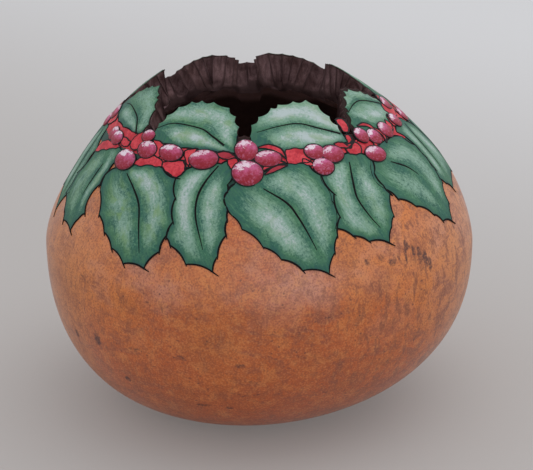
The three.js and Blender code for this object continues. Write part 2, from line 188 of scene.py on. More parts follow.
def skin(azimuth, drop, offset):
    """Points in millimetres, the offset measured square to the skin. The hollow's floor is level."""
    azimuth, drop, offset = np.broadcast_arrays(azimuth, drop, offset)
    above = drop - SLOPE_REACH
    below = np.minimum(drop + SLOPE_REACH, FOOT_DROP)
    run = np.interp(below, DROPS, RADII) - np.interp(above, DROPS, RADII)
    fall = np.interp(above, DROPS, HEIGHTS) - np.interp(below, DROPS, HEIGHTS)
    size = np.hypot(run, fall)
    side = np.interp(drop, DROPS, HEIGHTS)
    reach = offset + swelling_at(azimuth, drop) * np.clip((FOOT_DROP - drop) / SWELLING_FADE, 0, 1)
    radius = radius_at(drop) + reach * fall / size
    height = np.maximum(side + reach * run / size, -offset)
    turn = np.radians(azimuth)
    return np.stack([
        radius * np.sin(turn) + slice_shift(side),
        -radius * np.cos(turn),
        height,
    ], axis=-1)


front = skin(0.0, RIBBON_DROP, 0.0)
print("the ribbon's middle in front:", np.round(front, 1))

# %% [markdown]
# ## Meshes from grids and outlines
#
# Two ways of making a mesh are enough here. A ring or strip is a grid of points, joined by quads. A
# patch of paint with an odd outline is filled flat and sliced by a square grid, so that it has
# points inside to follow the curve of the skin, and then laid on the skin. Both are closed bodies
# with a top, an underside and thin walls between. A draped or shrink-wrapped sheet would do as
# well, but its outline would move.
#
# One collector joins such parts to one object and carries numbers on their points, which the
# finishes read later: how far along a leaf a point lies, or how much ink is on it.

# %% Join rings of points
def ring_edges(start, count):
    """The pairs of neighbours around one closed ring, from its first point's number."""
    return [(start + i, start + (i + 1) % count) for i in range(count)]


def ring_quads(rings, count):
    """The quads between each ring and the next, where all have the same count of points."""
    return [
        (a, b, b + count, a + count)
        for ring in range(rings - 1)
        for a, b in ring_edges(ring * count, count)
    ]


# %% Collect parts in one object
class Part:
    """Points, faces and named numbers on the points, collected until they become one object."""

    def __init__(self, *marks):
        self.points = []
        self.faces = []
        self.smooth = []
        self.sharp = []
        self.marks = {mark: [] for mark in marks}
        self.count = 0

    def add(self, points, faces, smooth=True, sharp=(), **marks):
        base = self.count
        self.points.append(np.asarray(points, float))
        self.count += len(points)
        self.faces.extend(tuple(base + i for i in face) for face in faces)
        flags = [smooth] * len(faces) if isinstance(smooth, bool) else list(smooth)
        self.smooth.extend(flags)
        self.sharp.extend((base + a, base + b) for a, b in sharp)
        for mark, rows in self.marks.items():
            value = np.asarray(marks.get(mark, (0, 0, 0)), float)
            rows.append(np.broadcast_to(value, (len(points), 3)))

    def build(self, name, material, weld=None):
        mesh = bpy.data.meshes.new(name)
        points = np.concatenate(self.points) * MM
        mesh.from_pydata(points.tolist(), [], self.faces)
        mesh.polygons.foreach_set("use_smooth", self.smooth)
        for mark, rows in self.marks.items():
            layer = mesh.attributes.new(mark, "FLOAT_VECTOR", "POINT")
            layer.data.foreach_set("vector", np.concatenate(rows).astype(np.float32).ravel())
        if self.sharp:
            wanted = {tuple(sorted(edge)) for edge in self.sharp}
            flags = [tuple(sorted(edge.vertices)) in wanted for edge in mesh.edges]
            layer = mesh.attributes.new("sharp_edge", "BOOLEAN", "EDGE")
            layer.data.foreach_set("value", flags)
        if weld:
            whole = bmesh.new()
            whole.from_mesh(mesh)
            bmesh.ops.remove_doubles(whole, verts=whole.verts[:], dist=weld * MM)
            whole.to_mesh(mesh)
            whole.free()
        mesh.materials.append(material)
        piece = bpy.data.objects.new(name, mesh)
        bpy.context.scene.collection.objects.link(piece)
        return piece


def wear(piece, slot, *nodes):
    """Hangs a finished piece on the bowl and hides the solids that it stands for."""
    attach(piece, "root")
    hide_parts(*nodes)
    return piece


# %% Between flat millimetres and the skin
PATH_STEP = 0.8


def to_place(flat, centre):
    """Flat (right, down) millimetres beside an azimuth become azimuths and drops."""
    flat = np.asarray(flat, float)
    return centre + np.degrees(flat[:, 0] / radius_at(flat[:, 1])), flat[:, 1]


def to_flat(azimuth, drop, centre):
    return np.array([math.radians(azimuth - centre) * float(radius_at(drop)), drop])


def smooth_path(points, step=PATH_STEP):
    """A dense path through given points, as a Catmull-Rom curve."""
    points = np.asarray(points, float)
    if len(points) == 2:
        count = max(2, int(np.linalg.norm(points[1] - points[0]) / step))
        return np.linspace(points[0], points[1], count + 1)
    padded = np.vstack([2 * points[0] - points[1], points, 2 * points[-1] - points[-2]])
    rows = []
    for a, b, c, d in zip(padded, padded[1:], padded[2:], padded[3:]):
        count = max(2, int(np.linalg.norm(c - b) / step))
        for t in np.arange(count) / count:
            rows.append(0.5 * (2 * b + (c - a) * t + (2 * a - 5 * b + 4 * c - d) * t ** 2
                               + (3 * b - a - 3 * c + d) * t ** 3))
    rows.append(points[-1])
    return np.array(rows)


# %% [markdown]
# ## The carved rim
#
# The rim is eight scallops between eight valleys. A valley is its azimuth, its depth, the squareness
# of the scallop before it and of the one after it, and the degrees of its level bottom. Each was cut
# by hand: the front ones drop almost straight into a slot, and the side ones slope.
# The gouge left a row of small hollows along it, with a spine between each two. So the rim is
# walked at an even pace, one gouge cut after another, and each column of points knows how far
# across its own cut it stands. A boolean with a row of cylinders could carve it too, but then the
# mesh wouldn't know its cuts, and neither could the stain.

# %% Shape the scallops
VALLEYS = [
    (-95, 23, 1.6, 1.6, 4.5), (-50, 24, 1.5, 2.2, 4.5), (-4.2, 18.5, 3.6, 1.5, 3.6),
    (43, 24, 8, 1.4, 4.5), (91, 22, 1.8, 1.8, 4.5), (140, 14.5, 2.6, 2.2, 4.5),
    (184, 15, 4, 1.9, 7), (233, 22, 1.8, 2.1, 19),
]
SCALLOPS = len(VALLEYS)
RIM_SAMPLES = 6001
CUT_WIDTH = 7.0
CUT_UNEVENNESS = 0.26
COLUMNS_PER_CUT = 10


def valleys_beside(scallop):
    after = VALLEYS[(scallop + 1) % SCALLOPS]
    lap = 360 if scallop + 1 == SCALLOPS else 0
    return VALLEYS[scallop], (after[0] + lap, *after[1:])


def scallop_line(scallop, share):
    """Azimuth, drop and dome along the spines. The dome is 1 on top and 0 in a valley."""
    start, end = valleys_beside(scallop)
    depth = start[1] + (end[1] - start[1]) * share
    squareness = np.where(share < 0.5, start[3], end[2])
    level = np.where(share < 0.5, start[4], end[4]) / (end[0] - start[0])
    reach = np.minimum(1, np.abs(2 * share - 1) / (1 - level))
    dome = np.sqrt(1 - reach ** squareness)
    return start[0] + (end[0] - start[0]) * share, depth * (1 - dome), dome


# %% Walk along the rim
def walk_rim(random):
    """One row for each column: azimuth, drop, dome, place across its cut, and the cut's number."""
    rows = []
    cuts = 0
    share = np.linspace(0, 1, RIM_SAMPLES)
    for scallop in range(SCALLOPS):
        azimuth, drop, dome = scallop_line(scallop, share)
        step = np.hypot(np.radians(np.diff(azimuth)) * radius_at(drop[1:]), np.diff(drop))
        length = np.concatenate([[0], np.cumsum(step)])
        count = round(length[-1] / CUT_WIDTH)
        ends = np.linspace(0, length[-1], count + 1)
        ends[1:-1] += random.uniform(-CUT_UNEVENNESS, CUT_UNEVENNESS, count - 1) * CUT_WIDTH
        for cut, (low, high) in enumerate(zip(ends, ends[1:])):
            across = np.arange(COLUMNS_PER_CUT) / COLUMNS_PER_CUT
            at = low + (high - low) * across
            row = [np.interp(at, length, line) for line in (azimuth, drop, dome)]
            rows.append(np.stack([*row, 2 * across - 1, np.full(COLUMNS_PER_CUT, cuts + cut)]))
        cuts += count
    return np.concatenate(rows, axis=1), cuts


RIM, CUTS = walk_rim(np.random.default_rng(11))
RIM_AZIMUTH, RIM_DROP, RIM_DOME, RIM_ACROSS = RIM[:4]
RIM_CUT = RIM[4].astype(int)
COLUMNS = len(RIM_AZIMUTH)
print("gouge cuts along the rim:", CUTS, "columns:", COLUMNS)

# %% Find the way into the wall
ARC_DEPTH = 1.5
NORMAL_BLUR = 5
BLUR_REACH = 15


def into_material():
    """For each column, the (right, down) direction on the skin that leads away from the edge."""
    ahead = np.roll(RIM_AZIMUTH, -1) + np.where(np.arange(COLUMNS) == COLUMNS - 1, 360, 0)
    behind = np.roll(RIM_AZIMUTH, 1) - np.where(np.arange(COLUMNS) == 0, 360, 0)
    right = np.radians(ahead - behind) * radius_at(RIM_DROP)
    down = np.roll(RIM_DROP, -1) - np.roll(RIM_DROP, 1)
    normal = np.stack([-down, right]) / np.hypot(right, down)
    shifts = np.arange(-BLUR_REACH, BLUR_REACH + 1)
    window = np.exp(-0.5 * (shifts / NORMAL_BLUR) ** 2)
    window /= window.sum()
    blurred = sum(weight * np.roll(normal, shift, axis=1) for weight, shift in zip(window, shifts))
    return blurred / np.hypot(*blurred)


INTO = into_material()


def rim_moved(reach):
    """The rim's azimuths and drops after each column moves into the material."""
    drop = RIM_DROP + INTO[1] * reach
    return RIM_AZIMUTH + np.degrees(INTO[0] * reach / radius_at(RIM_DROP)), drop


CUT_HOLLOW = ARC_DEPTH * (1 - RIM_ACROSS ** 2)
EDGE_AZIMUTH, EDGE_DROP = rim_moved(CUT_HOLLOW)
print("highest and deepest edge:", round(float(EDGE_DROP.min()), 2), round(float(EDGE_DROP.max()), 2))

# %% [markdown]
# ## The rind
#
# The rind is the hard outer skin, 2.5 mm thick. Near the rim its outline is too wild for level
# rings: the slots have hollows in their sides. So the rind is made in two zones. The upper one is a
# flat map of the skin, filled inside the rim line, sliced by a grid, and rolled up. The lower one
# is rings that start from the same grid lines, so that both zones can be welded along them.
#
# The stain of the wall has bled on to the skin, more on some scallops than on others, and it fills
# the bottom of each valley. Lower down the skin has old marks: dark smudges where it lay on the
# ground, and a few scratches. A smudge is its azimuth, its drop, its two half sizes and how dark it
# is. A scratch is a short path of azimuths and drops. The points carry stain and marks as numbers,
# and the finish makes them ragged.

# %% Slice a flat outline into a fine sheet
SLICE_MARGIN = 1e-6
SLICE_TOUCH = 1e-4


def fill_outline(outline, step):
    """Points and triangles or quads inside a closed flat outline, and its rim as edges."""
    sheet = bmesh.new()
    face = sheet.faces.new([sheet.verts.new((x, y, 0)) for x, y in outline])
    face.normal_update()
    if face.normal.z > 0:
        face.normal_flip()
    bmesh.ops.triangulate(sheet, faces=[face])
    outline = np.asarray(outline)
    for axis in range(2):
        low, high = outline[:, axis].min(), outline[:, axis].max()
        normal = (1, 0, 0) if axis == 0 else (0, 1, 0)
        first = math.floor(low / step) + 1
        for line in np.arange(first, high / step - SLICE_MARGIN) * step:
            at = (line * normal[0], line * normal[1], 0)
            everything = sheet.verts[:] + sheet.edges[:] + sheet.faces[:]
            bmesh.ops.bisect_plane(
                sheet, geom=everything, plane_co=at, plane_no=normal, dist=SLICE_TOUCH)
    sheet.verts.index_update()
    points = np.array([v.co.xy for v in sheet.verts])
    faces = [[v.index for v in f.verts] for f in sheet.faces]
    rim = []
    for edge in sheet.edges:
        if edge.is_boundary:
            loop = edge.link_loops[0]
            rim.append((loop.vert.index, loop.link_loop_next.vert.index))
    sheet.free()
    return points, faces, rim


# %% Stains and old marks
BLEEDS = (1.0, 0.12, 0.12, 2.6, 1.0, 0.8, 0.8, 1.0)
SMUDGES = [
    (42.5, 85.5, 2.2, 1.4, 1.4), (42.3, 83.5, 1.4, 1.9, 1.6), (41.5, 88.5, 1.0, 4.8, 1.3),
    (44.5, 88.5, 1.1, 4.4, 1.5), (46.5, 90.5, 1.5, 3.9, 1.8), (48.5, 93.5, 1.6, 4.1, 1.8),
    (49.8, 97.5, 1.7, 3.9, 1.6), (47, 95, 3.8, 8, 0.55), (37.5, 88.5, 1.2, 3.4, 0.85),
    (33.5, 87, 2.1, 2.3, 0.9), (36.4, 90, 2.6, 2.0, 0.9), (29, 87, 2.1, 2.8, 0.7),
    (21.5, 79.5, 2.6, 2, 0.5), (27, 92, 2.4, 3.4, 0.35), (45, 103, 5, 8, 0.3),
    (-57.5, 140, 1.9, 2.8, 1.6), (-46.5, 135, 3.0, 4.4, 1.1), (-37.5, 154, 2.0, 1.8, 1.7),
    (-33, 133, 4.8, 1.4, 0.75), (-20, 133, 3.4, 1.7, 0.9), (-14.5, 165, 4.2, 1.4, 1.0),
    (-7, 166, 2.4, 1.4, 1.0), (-4.5, 135, 3.0, 1.7, 0.8), (10, 118, 1.3, 1.3, 0.9),
    (-24, 108, 7, 4, 0.35), (-12, 122, 8, 5, 0.35), (-30, 120, 6, 5, 0.3), (-2, 146, 7, 3, 0.35),
    (36, 142, 6, 5, 0.35), (30, 138, 8, 5, 0.3), (-44, 112, 4, 3, 0.3), (19, 125, 5, 5, 0.3),
    (-72, 118, 2, 3, 0.35), (66, 128, 3, 2.4, 0.3), (100, 96, 2.2, 3, 0.6), (118, 120, 4, 2, 0.4),
    (150, 104, 2, 4.5, 0.55), (172, 132, 3, 2, 0.5), (205, 110, 2.5, 3.5, 0.45),
    (236, 128, 2.2, 2.2, 0.6), (-118, 112, 3, 2.6, 0.4), (162, 150, 5, 2, 0.35),
]
SCRATCHES = [
    [(2.5, 129), (5, 131.6), (7.4, 134.4)], [(6, 130.8), (9.4, 129.6), (12, 131)],
    [(5.5, 133.6), (8.6, 137.4)], [(-52, 104), (-48.6, 106.4)], [(23, 101.5), (23.6, 106.8)],
    [(-8, 152), (-3, 154.6), (1, 153.8)], [(58, 118), (59.4, 124)], [(108, 100), (112, 104)],
    [(186, 118), (190, 124), (191, 129)],
]
SMUDGE_LEVEL = 1.7
SMUDGE_FALL = 1.4
SCRATCH_LEVEL = 1.2
SCRATCH_REACH = 0.9
SCRATCH_STRENGTH = 0.7
BLEED_MARGIN = 0.3
BLEED_FADE = 0.5
POOL_BESIDE = 1.3
POOL_HALF = 3.4
POOL_ABOVE = 2
BATCH = 2000


def gap_to_rim(azimuth, drop):
    """The distance in millimetres to the nearest point of the rim, worked out in batches."""
    gaps = np.empty(len(azimuth))
    for start in range(0, len(azimuth), BATCH):
        chosen = slice(start, start + BATCH)
        a, d = azimuth[chosen, None], drop[chosen, None]
        right = right_of(a, EDGE_AZIMUTH[None], d)
        gaps[chosen] = np.hypot(right, EDGE_DROP[None] - d).min(axis=1)
    return gaps


def stain_at(azimuth, drop, gap):
    """How much of the wall's dark stain lies on the skin: a thin bleed, and a pool per valley."""
    starts = [valley[0] for valley in VALLEYS]
    turn = (azimuth - starts[0]) % 360 + starts[0]
    bleed = np.array(BLEEDS)[np.searchsorted(starts, turn, side="right") - 1]
    stain = np.clip(1 + (bleed + BLEED_MARGIN - gap) / BLEED_FADE, 0, 1)
    for centre, depth, _, _, level in VALLEYS:
        beside = np.abs(turn_from(centre, azimuth)) < min(level / 2 + POOL_BESIDE, POOL_HALF)
        stain = np.where(beside & (drop > depth - POOL_ABOVE), 1.0, stain)
    return stain


def bruise_at(azimuth, drop):
    """How dark the old smudges and scratches lie on the skin."""
    bruise = np.zeros(np.broadcast(azimuth, drop).shape)
    for centre, depth, wide, long, strength in SMUDGES:
        reach = np.hypot(right_of(centre, azimuth, drop) / wide, (drop - depth) / long)
        bruise = np.maximum(bruise, strength * np.clip(SMUDGE_LEVEL - SMUDGE_FALL * reach, 0, 1))
    for path in SCRATCHES:
        centre = path[0][0]
        flat = [to_flat(a, d, centre) for a, d in path]
        right = right_of(centre, azimuth, drop)
        for start, end in zip(flat, flat[1:]):
            way = end - start
            share = ((right - start[0]) * way[0] + (drop - start[1]) * way[1]) / (way @ way)
            share = np.clip(share, 0, 1)
            gap = np.hypot(right - start[0] - share * way[0], drop - start[1] - share * way[1])
            mark = SCRATCH_STRENGTH * np.clip(SCRATCH_LEVEL - gap / SCRATCH_REACH, 0, 1)
            bruise = np.maximum(bruise, mark)
    return bruise


# %% Roll up the rind
RIM_ZONE = 30
SKIN_STEP = 1.0
BODY_ROW = 0.8
INNER_RINGS = 45
EDGE_ROUND = 0.35
EDGE_SET_BACK = 0.12
FEATHER_START = 0.3
FEATHER_SLOPE = 0.5
SEAM_TOUCH = 1e-3
SEAM_WELD = 0.004


def add_rings(part, azimuths, drops, offset, flip):
    """Adds rings down to the foot and closes it, with the marks of the skin on their points."""
    columns = len(azimuths)
    centre = len(drops) * columns
    grid = skin(azimuths[None], drops[:, None], offset)
    bruise = np.append(bruise_at(azimuths[None], drops[:, None]).ravel(), 0.0)
    faces = ring_quads(len(drops), columns)
    faces += [(a, b, centre) for a, b in ring_edges(centre - columns, columns)]
    if flip:
        faces = [(face[0], *face[:0:-1]) for face in faces]
    middle = [(FOOT_SHIFT, 0, max(0.0, -offset))]
    marks = np.stack([0 * bruise, bruise, 0 * bruise], axis=1)
    part.add(np.concatenate([grid.reshape(-1, 3), middle]), faces, skin_marks=marks)


def add_halving(part, azimuths, drops):
    """Joins a coarse ring to one with twice its columns, whose azimuths it returns."""
    count = len(azimuths)
    fine = np.arange(2 * count) * SKIN_STEP / 2 + azimuths[0]
    faces = []
    for i, (a, b) in enumerate(ring_edges(0, count)):
        c, d, e = count + 2 * i, count + 2 * i + 1, count + (2 * i + 2) % (2 * count)
        faces += [(a, b, d), (a, d, c), (b, e, d)]
    part.add(np.concatenate([skin(azimuths, drops[0], 0.0), skin(fine, drops[1], 0.0)]), faces)
    return fine


def build_rind(material):
    part = Part("skin_marks")
    edge = np.stack(rim_moved(CUT_HOLLOW + EDGE_SET_BACK), axis=1)
    seam = edge[0][0]
    closing = [(seam + 360, edge[0][1]), (seam + 360, RIM_ZONE), (seam, RIM_ZONE)]
    flat, faces, rim = fill_outline(np.concatenate([edge, closing]), SKIN_STEP)
    azimuth, drop = flat[:, 0], flat[:, 1]
    sides = (azimuth < seam + SEAM_TOUCH, azimuth > seam + 360 - SEAM_TOUCH,
             drop > RIM_ZONE - SEAM_TOUCH)
    open_edge = [(a, b) for a, b in rim if not any(side[a] and side[b] for side in sides)]
    on_edge = np.zeros(len(flat), bool)
    on_edge[[i for pair in open_edge for i in pair]] = True
    gap = gap_to_rim(azimuth, drop)
    stain = stain_at(azimuth, drop, gap)
    outer = skin(azimuth, drop, np.where(on_edge, -EDGE_ROUND, 0.0))
    inner = skin(azimuth, drop, -np.minimum(RIND_THICKNESS, FEATHER_START + FEATHER_SLOPE * gap))
    count = len(flat)
    marks = np.stack([stain, 0 * stain, 0 * stain], axis=1)
    under = [[i + count for i in reversed(face)] for face in faces]
    walls = [[b, a, a + count, b + count] for a, b in open_edge]
    part.add(np.concatenate([outer, inner]), faces + under + walls,
             skin_marks=np.tile(marks, (2, 1)))
    columns = np.arange(360 / SKIN_STEP) * SKIN_STEP + seam
    body_start = RIM_ZONE + BODY_ROW
    fine = add_halving(part, columns, (RIM_ZONE, body_start))
    add_rings(part, fine, np.arange(body_start, FOOT_DROP, BODY_ROW), 0.0, False)
    inner_drops = np.linspace(RIM_ZONE, FOOT_DROP, INNER_RINGS)
    add_rings(part, columns, inner_drops, -RIND_THICKNESS, True)
    return part.build("gourd_rind", material, weld=SEAM_WELD)

# %% [markdown]
# ## The carved wall
#
# Inside the rind lies the corky wall. It was cut almost upright and gouged into flutes, and its
# lower part shows shallow facets where the blade only scraped. The wall is walked in the same
# columns as the rim. Each column runs down the cut face, turns into the hollow and goes to the
# floor, and a groove depth pushes it into the material. The rind is thinned to a feather along the
# edge, so that the flutes run up to it. Bump mapping alone would leave the skyline and the shadows
# of the flutes flat, so the grooves are real geometry.

# %% The section of the cut face
FLUTE_DEPTH = 3.3
FLUTE_LENGTH = 21.0
FLUTE_START = 6
FLUTE_END = 4.0
FLUTE_SETTLE = 8.0
LENGTH_SPREAD = (-4.5, 3.0)
DEPTH_SPREAD = (0.35, 1.2)
SLANT = math.radians(33)
STRAIGHT = 13.0
TURN_RADIUS = 12.0
FACE_END = STRAIGHT + TURN_RADIUS * (math.pi / 2 - SLANT)
LEVEL_DROP = 46


def face_path(v):
    """How far the section has gone under the skin and into the material after v millimetres."""
    turn = np.clip((v - STRAIGHT) / TURN_RADIUS, 0, math.pi / 2 - SLANT)
    run = np.minimum(v, STRAIGHT)
    depth = run * math.cos(SLANT) + TURN_RADIUS * (np.sin(SLANT + turn) - math.sin(SLANT))
    reach = run * math.sin(SLANT) + TURN_RADIUS * (math.cos(SLANT) - np.cos(SLANT + turn))
    return depth, reach, SLANT + turn


def wall_depth(drop):
    share = np.clip(drop / WALL_TAPER_LENGTH, 0, 1)
    return WALL_AT_RIM + (WALL_AT_BODY - WALL_AT_RIM) * share * share * (3 - 2 * share)


def flute_groove(v, length):
    """Groove depth across and along the cuts: a shallow start, a full middle and a round end."""
    ramp = np.clip(v / FLUTE_START, 0, 1)
    full = ARC_DEPTH + (FLUTE_DEPTH - ARC_DEPTH) * ramp * ramp * (3 - 2 * ramp)
    hollow = 1 - np.abs(RIM_ACROSS) ** (2 + 3 * ramp)
    end = np.clip((v - length + FLUTE_END) / FLUTE_END, 0, None)
    return full * np.maximum(0, hollow - end ** 2)


print("length of the cut face:", round(FACE_END, 1), "mm")


# %% Where the blade only scraped
SCRAPES = 420
SCRAPE_DROPS = (8, LEVEL_DROP + 25)
SCRAPE_WIDTHS = (3.0, 6.0)
SCRAPE_LENGTHS = (5.0, 11.0)
SCRAPE_DEPTHS = (0.35, 1.0)
SCRAPE_START = 12
SCRAPE_RAMP = 6
INNER_SHARE = 0.85


def scrape_field(random):
    """Many shallow oval cuts at seeded places of the inner face, as a function of the place."""
    azimuth = random.uniform(0, 360, SCRAPES)
    spreads = (SCRAPE_DROPS, SCRAPE_WIDTHS, SCRAPE_LENGTHS, SCRAPE_DEPTHS)
    drop, wide, long, deep = [random.uniform(*spread, SCRAPES) for spread in spreads]

    def scrape(a, d):
        right = right_of(azimuth, a[:, None], d[:, None]) * INNER_SHARE
        down = d[:, None] - drop
        return np.max(deep * (1 - (right / wide) ** 2 - (down / long) ** 2), axis=1).clip(0)

    return scrape


# %% Rings of the wall
FACE_STARTS = (0.05, 0.7, 1.5)
FACE_EVEN = 2.3
FACE_STEP = 0.8
VALLEY_LENGTH = 0.75
VALLEY_SLANT = 0.3
SLANT_BLUR = 3
TURN_PACE = 1.3
TURN_RINGS = 21
HOLLOW_RINGS = 39
BACK_SINKS = ((0.5, 0.6), (2.0, 1.4), (4.3, 2.52))
BACK_TURN_RINGS = 9
BACK_RINGS = 23
BACK_SINK = BACK_SINKS[-1][1]


def steps_to(start, end, count):
    """Even steps from a start, which is left out, to an end."""
    return np.linspace(start, end, count + 1)[1:]


def inner_rings(random):
    """Rings down the cut face and the hollow, their marks, and how many lie on the face."""
    scrape = scrape_field(random)
    length = FLUTE_LENGTH + random.uniform(*LENGTH_SPREAD, CUTS)[RIM_CUT]
    length = length * (VALLEY_LENGTH + (1 - VALLEY_LENGTH) * RIM_DOME)
    deepen = random.uniform(*DEPTH_SPREAD, CUTS)[RIM_CUT]
    strength = VALLEY_SLANT + (1 - VALLEY_SLANT) * RIM_DOME ** 3
    shifts = range(-SLANT_BLUR, SLANT_BLUR + 1)
    strength = np.array([np.roll(strength, shift) for shift in shifts]).mean(axis=0)
    rings = []
    marks = []

    def add_ring(azimuth, drop, offset, groove, down, raw):
        rings.append(skin(azimuth, drop, offset))
        marks.append(np.stack(np.broadcast_arrays(groove, down, raw), axis=1))

    for v in (*FACE_STARTS, *np.arange(FACE_EVEN, FACE_END, FACE_STEP)):
        depth, reach, turn = face_path(v)
        settled = min(1, v / FLUTE_SETTLE)
        groove = flute_groove(v, length) * (1 + (deepen - 1) * settled)
        lean = turn * settled
        azimuth, drop = rim_moved(reach * strength + groove * math.cos(lean))
        raw = scrape(azimuth, drop + v) * np.clip((v - SCRAPE_START) / SCRAPE_RAMP, 0, 1)
        add_ring(azimuth, drop, -depth + (groove + raw) * math.sin(lean), groove, v, raw)
    on_face = len(rings)
    depth, reach, _ = face_path(FACE_END)
    azimuth, drop = rim_moved(reach * strength)
    for share in steps_to(0, 1, TURN_RINGS) ** TURN_PACE:
        a = azimuth + (RIM_AZIMUTH - azimuth) * share
        d = drop + (LEVEL_DROP - drop) * share
        raw = scrape(a, d)
        thick = depth + (wall_depth(LEVEL_DROP) - depth) * share
        add_ring(a, d, raw - thick, 0, FACE_END + d - drop, raw)
    for d in steps_to(LEVEL_DROP, FOOT_DROP, HOLLOW_RINGS):
        raw = scrape(RIM_AZIMUTH, np.full(COLUMNS, d))
        add_ring(RIM_AZIMUTH, d, raw - wall_depth(d), 0, d, raw)
    return rings, marks, on_face


def back_rings():
    """Rings down the outside of the wall, close under the rind."""
    rings = []
    for reach, sink in BACK_SINKS:
        azimuth, drop = rim_moved(CUT_HOLLOW + reach)
        rings.append(skin(azimuth, drop, -sink))
    for share in steps_to(0, 1, BACK_TURN_RINGS):
        a = azimuth + (RIM_AZIMUTH - azimuth) * share
        rings.append(skin(a, drop + (LEVEL_DROP - drop) * share, -BACK_SINK))
    for d in steps_to(LEVEL_DROP, FOOT_DROP, BACK_RINGS):
        rings.append(skin(RIM_AZIMUTH, d, -BACK_SINK))
    return rings


# %% Close the wall
def build_wall(material):
    inner, marks, on_face = inner_rings(np.random.default_rng(23))
    back = back_rings()
    grid = np.concatenate([np.stack(back[::-1]), np.stack(inner)])
    mark = np.concatenate([np.zeros((len(back), COLUMNS, 3)), np.stack(marks)])
    total = len(grid) * COLUMNS
    faces = ring_quads(len(grid), COLUMNS)
    faces += [(b, a, total) for a, b in ring_edges(0, COLUMNS)]
    faces += [(a, b, total + 1) for a, b in ring_edges(total - COLUMNS, COLUMNS)]
    centres = [(FOOT_SHIFT, 0, BACK_SINK), (FOOT_SHIFT, 0, WALL_AT_BODY)]
    points = np.concatenate([grid.reshape(-1, 3), centres])
    carved = np.concatenate([mark.reshape(-1, 3), mark[[0, -1], 0]])
    spines = np.flatnonzero(RIM_ACROSS == -1)
    sharp = [
        (ring * COLUMNS + i, (ring + 1) * COLUMNS + i)
        for ring in range(len(back), len(back) + on_face - 1)
        for i in spines
    ]
    part = Part("carved")
    part.add(points, faces, True, sharp, carved=carved)
    print("wall rings:", len(grid), "of", COLUMNS, "points, on the cut face:", on_face)
    return part.build("carved_wall", material)

# %% [markdown]
# ## Finishes as arithmetic
#
# A finish is written as a formula. A Field wraps one output of a node, and + - * ** between fields
# and numbers add the Math nodes for it, so that a mask reads as it would on paper. Colours and
# vectors don't go through Math nodes, which would turn them grey: mix and the vector nodes hold
# them. Every other node comes from one method, which takes its type, its settings and its inputs.
# Coats are laid over each other in the order of a list, each with how much of it there is and its
# colour. Nodes could be placed by hand in the editor too, but a formula is easier to read, and to
# correct.

# %% Fields and finishes
class Field:
    """One value of a shader, with the arithmetic that the finishes use."""

    def __init__(self, finish, socket):
        self.finish = finish
        self.socket = socket

    def math(self, operation, *values, clamp=False):
        settings = {"operation": operation, "use_clamp": clamp}
        return self.finish.node("ShaderNodeMath", settings, dict(enumerate(values)))

    def __add__(self, other):
        return self.math("ADD", self, other)

    def __sub__(self, other):
        return self.math("SUBTRACT", self, other)

    def __rsub__(self, other):
        return self.math("SUBTRACT", other, self)

    def __mul__(self, other):
        return self.math("MULTIPLY", self, other)

    def __pow__(self, other):
        return self.math("POWER", self, other)

    def __rpow__(self, other):
        return self.math("POWER", other, self)

    __radd__ = __add__
    __rmul__ = __mul__

    def most(self, other):
        return self.math("MAXIMUM", self, other)

    def least(self, other):
        return self.math("MINIMUM", self, other)

    def size(self):
        return self.math("ABSOLUTE", self)

    def clamp(self):
        return self.math("ADD", self, 0.0, clamp=True)

    def ramp(self, low, high):
        """0 at low and 1 at high, smooth between. Low may be the larger."""
        settings = {"interpolation_type": "SMOOTHSTEP"}
        return self.finish.node("ShaderNodeMapRange", settings, {0: self, 1: low, 2: high})

    def bell(self, centre, width):
        """1 at the centre, falling smoothly to 0 at a width to each side."""
        return (self - centre).size().ramp(width, 0.0)


def linear(red, green, blue):
    """A colour from 0 to 255, as a photograph writes it, in the linear values of a shader."""
    parts = [value / 255 for value in (red, green, blue)]
    return tuple(v / 12.92 if v < 0.04 else ((v + 0.055) / 1.055) ** 2.4 for v in parts) + (1,)


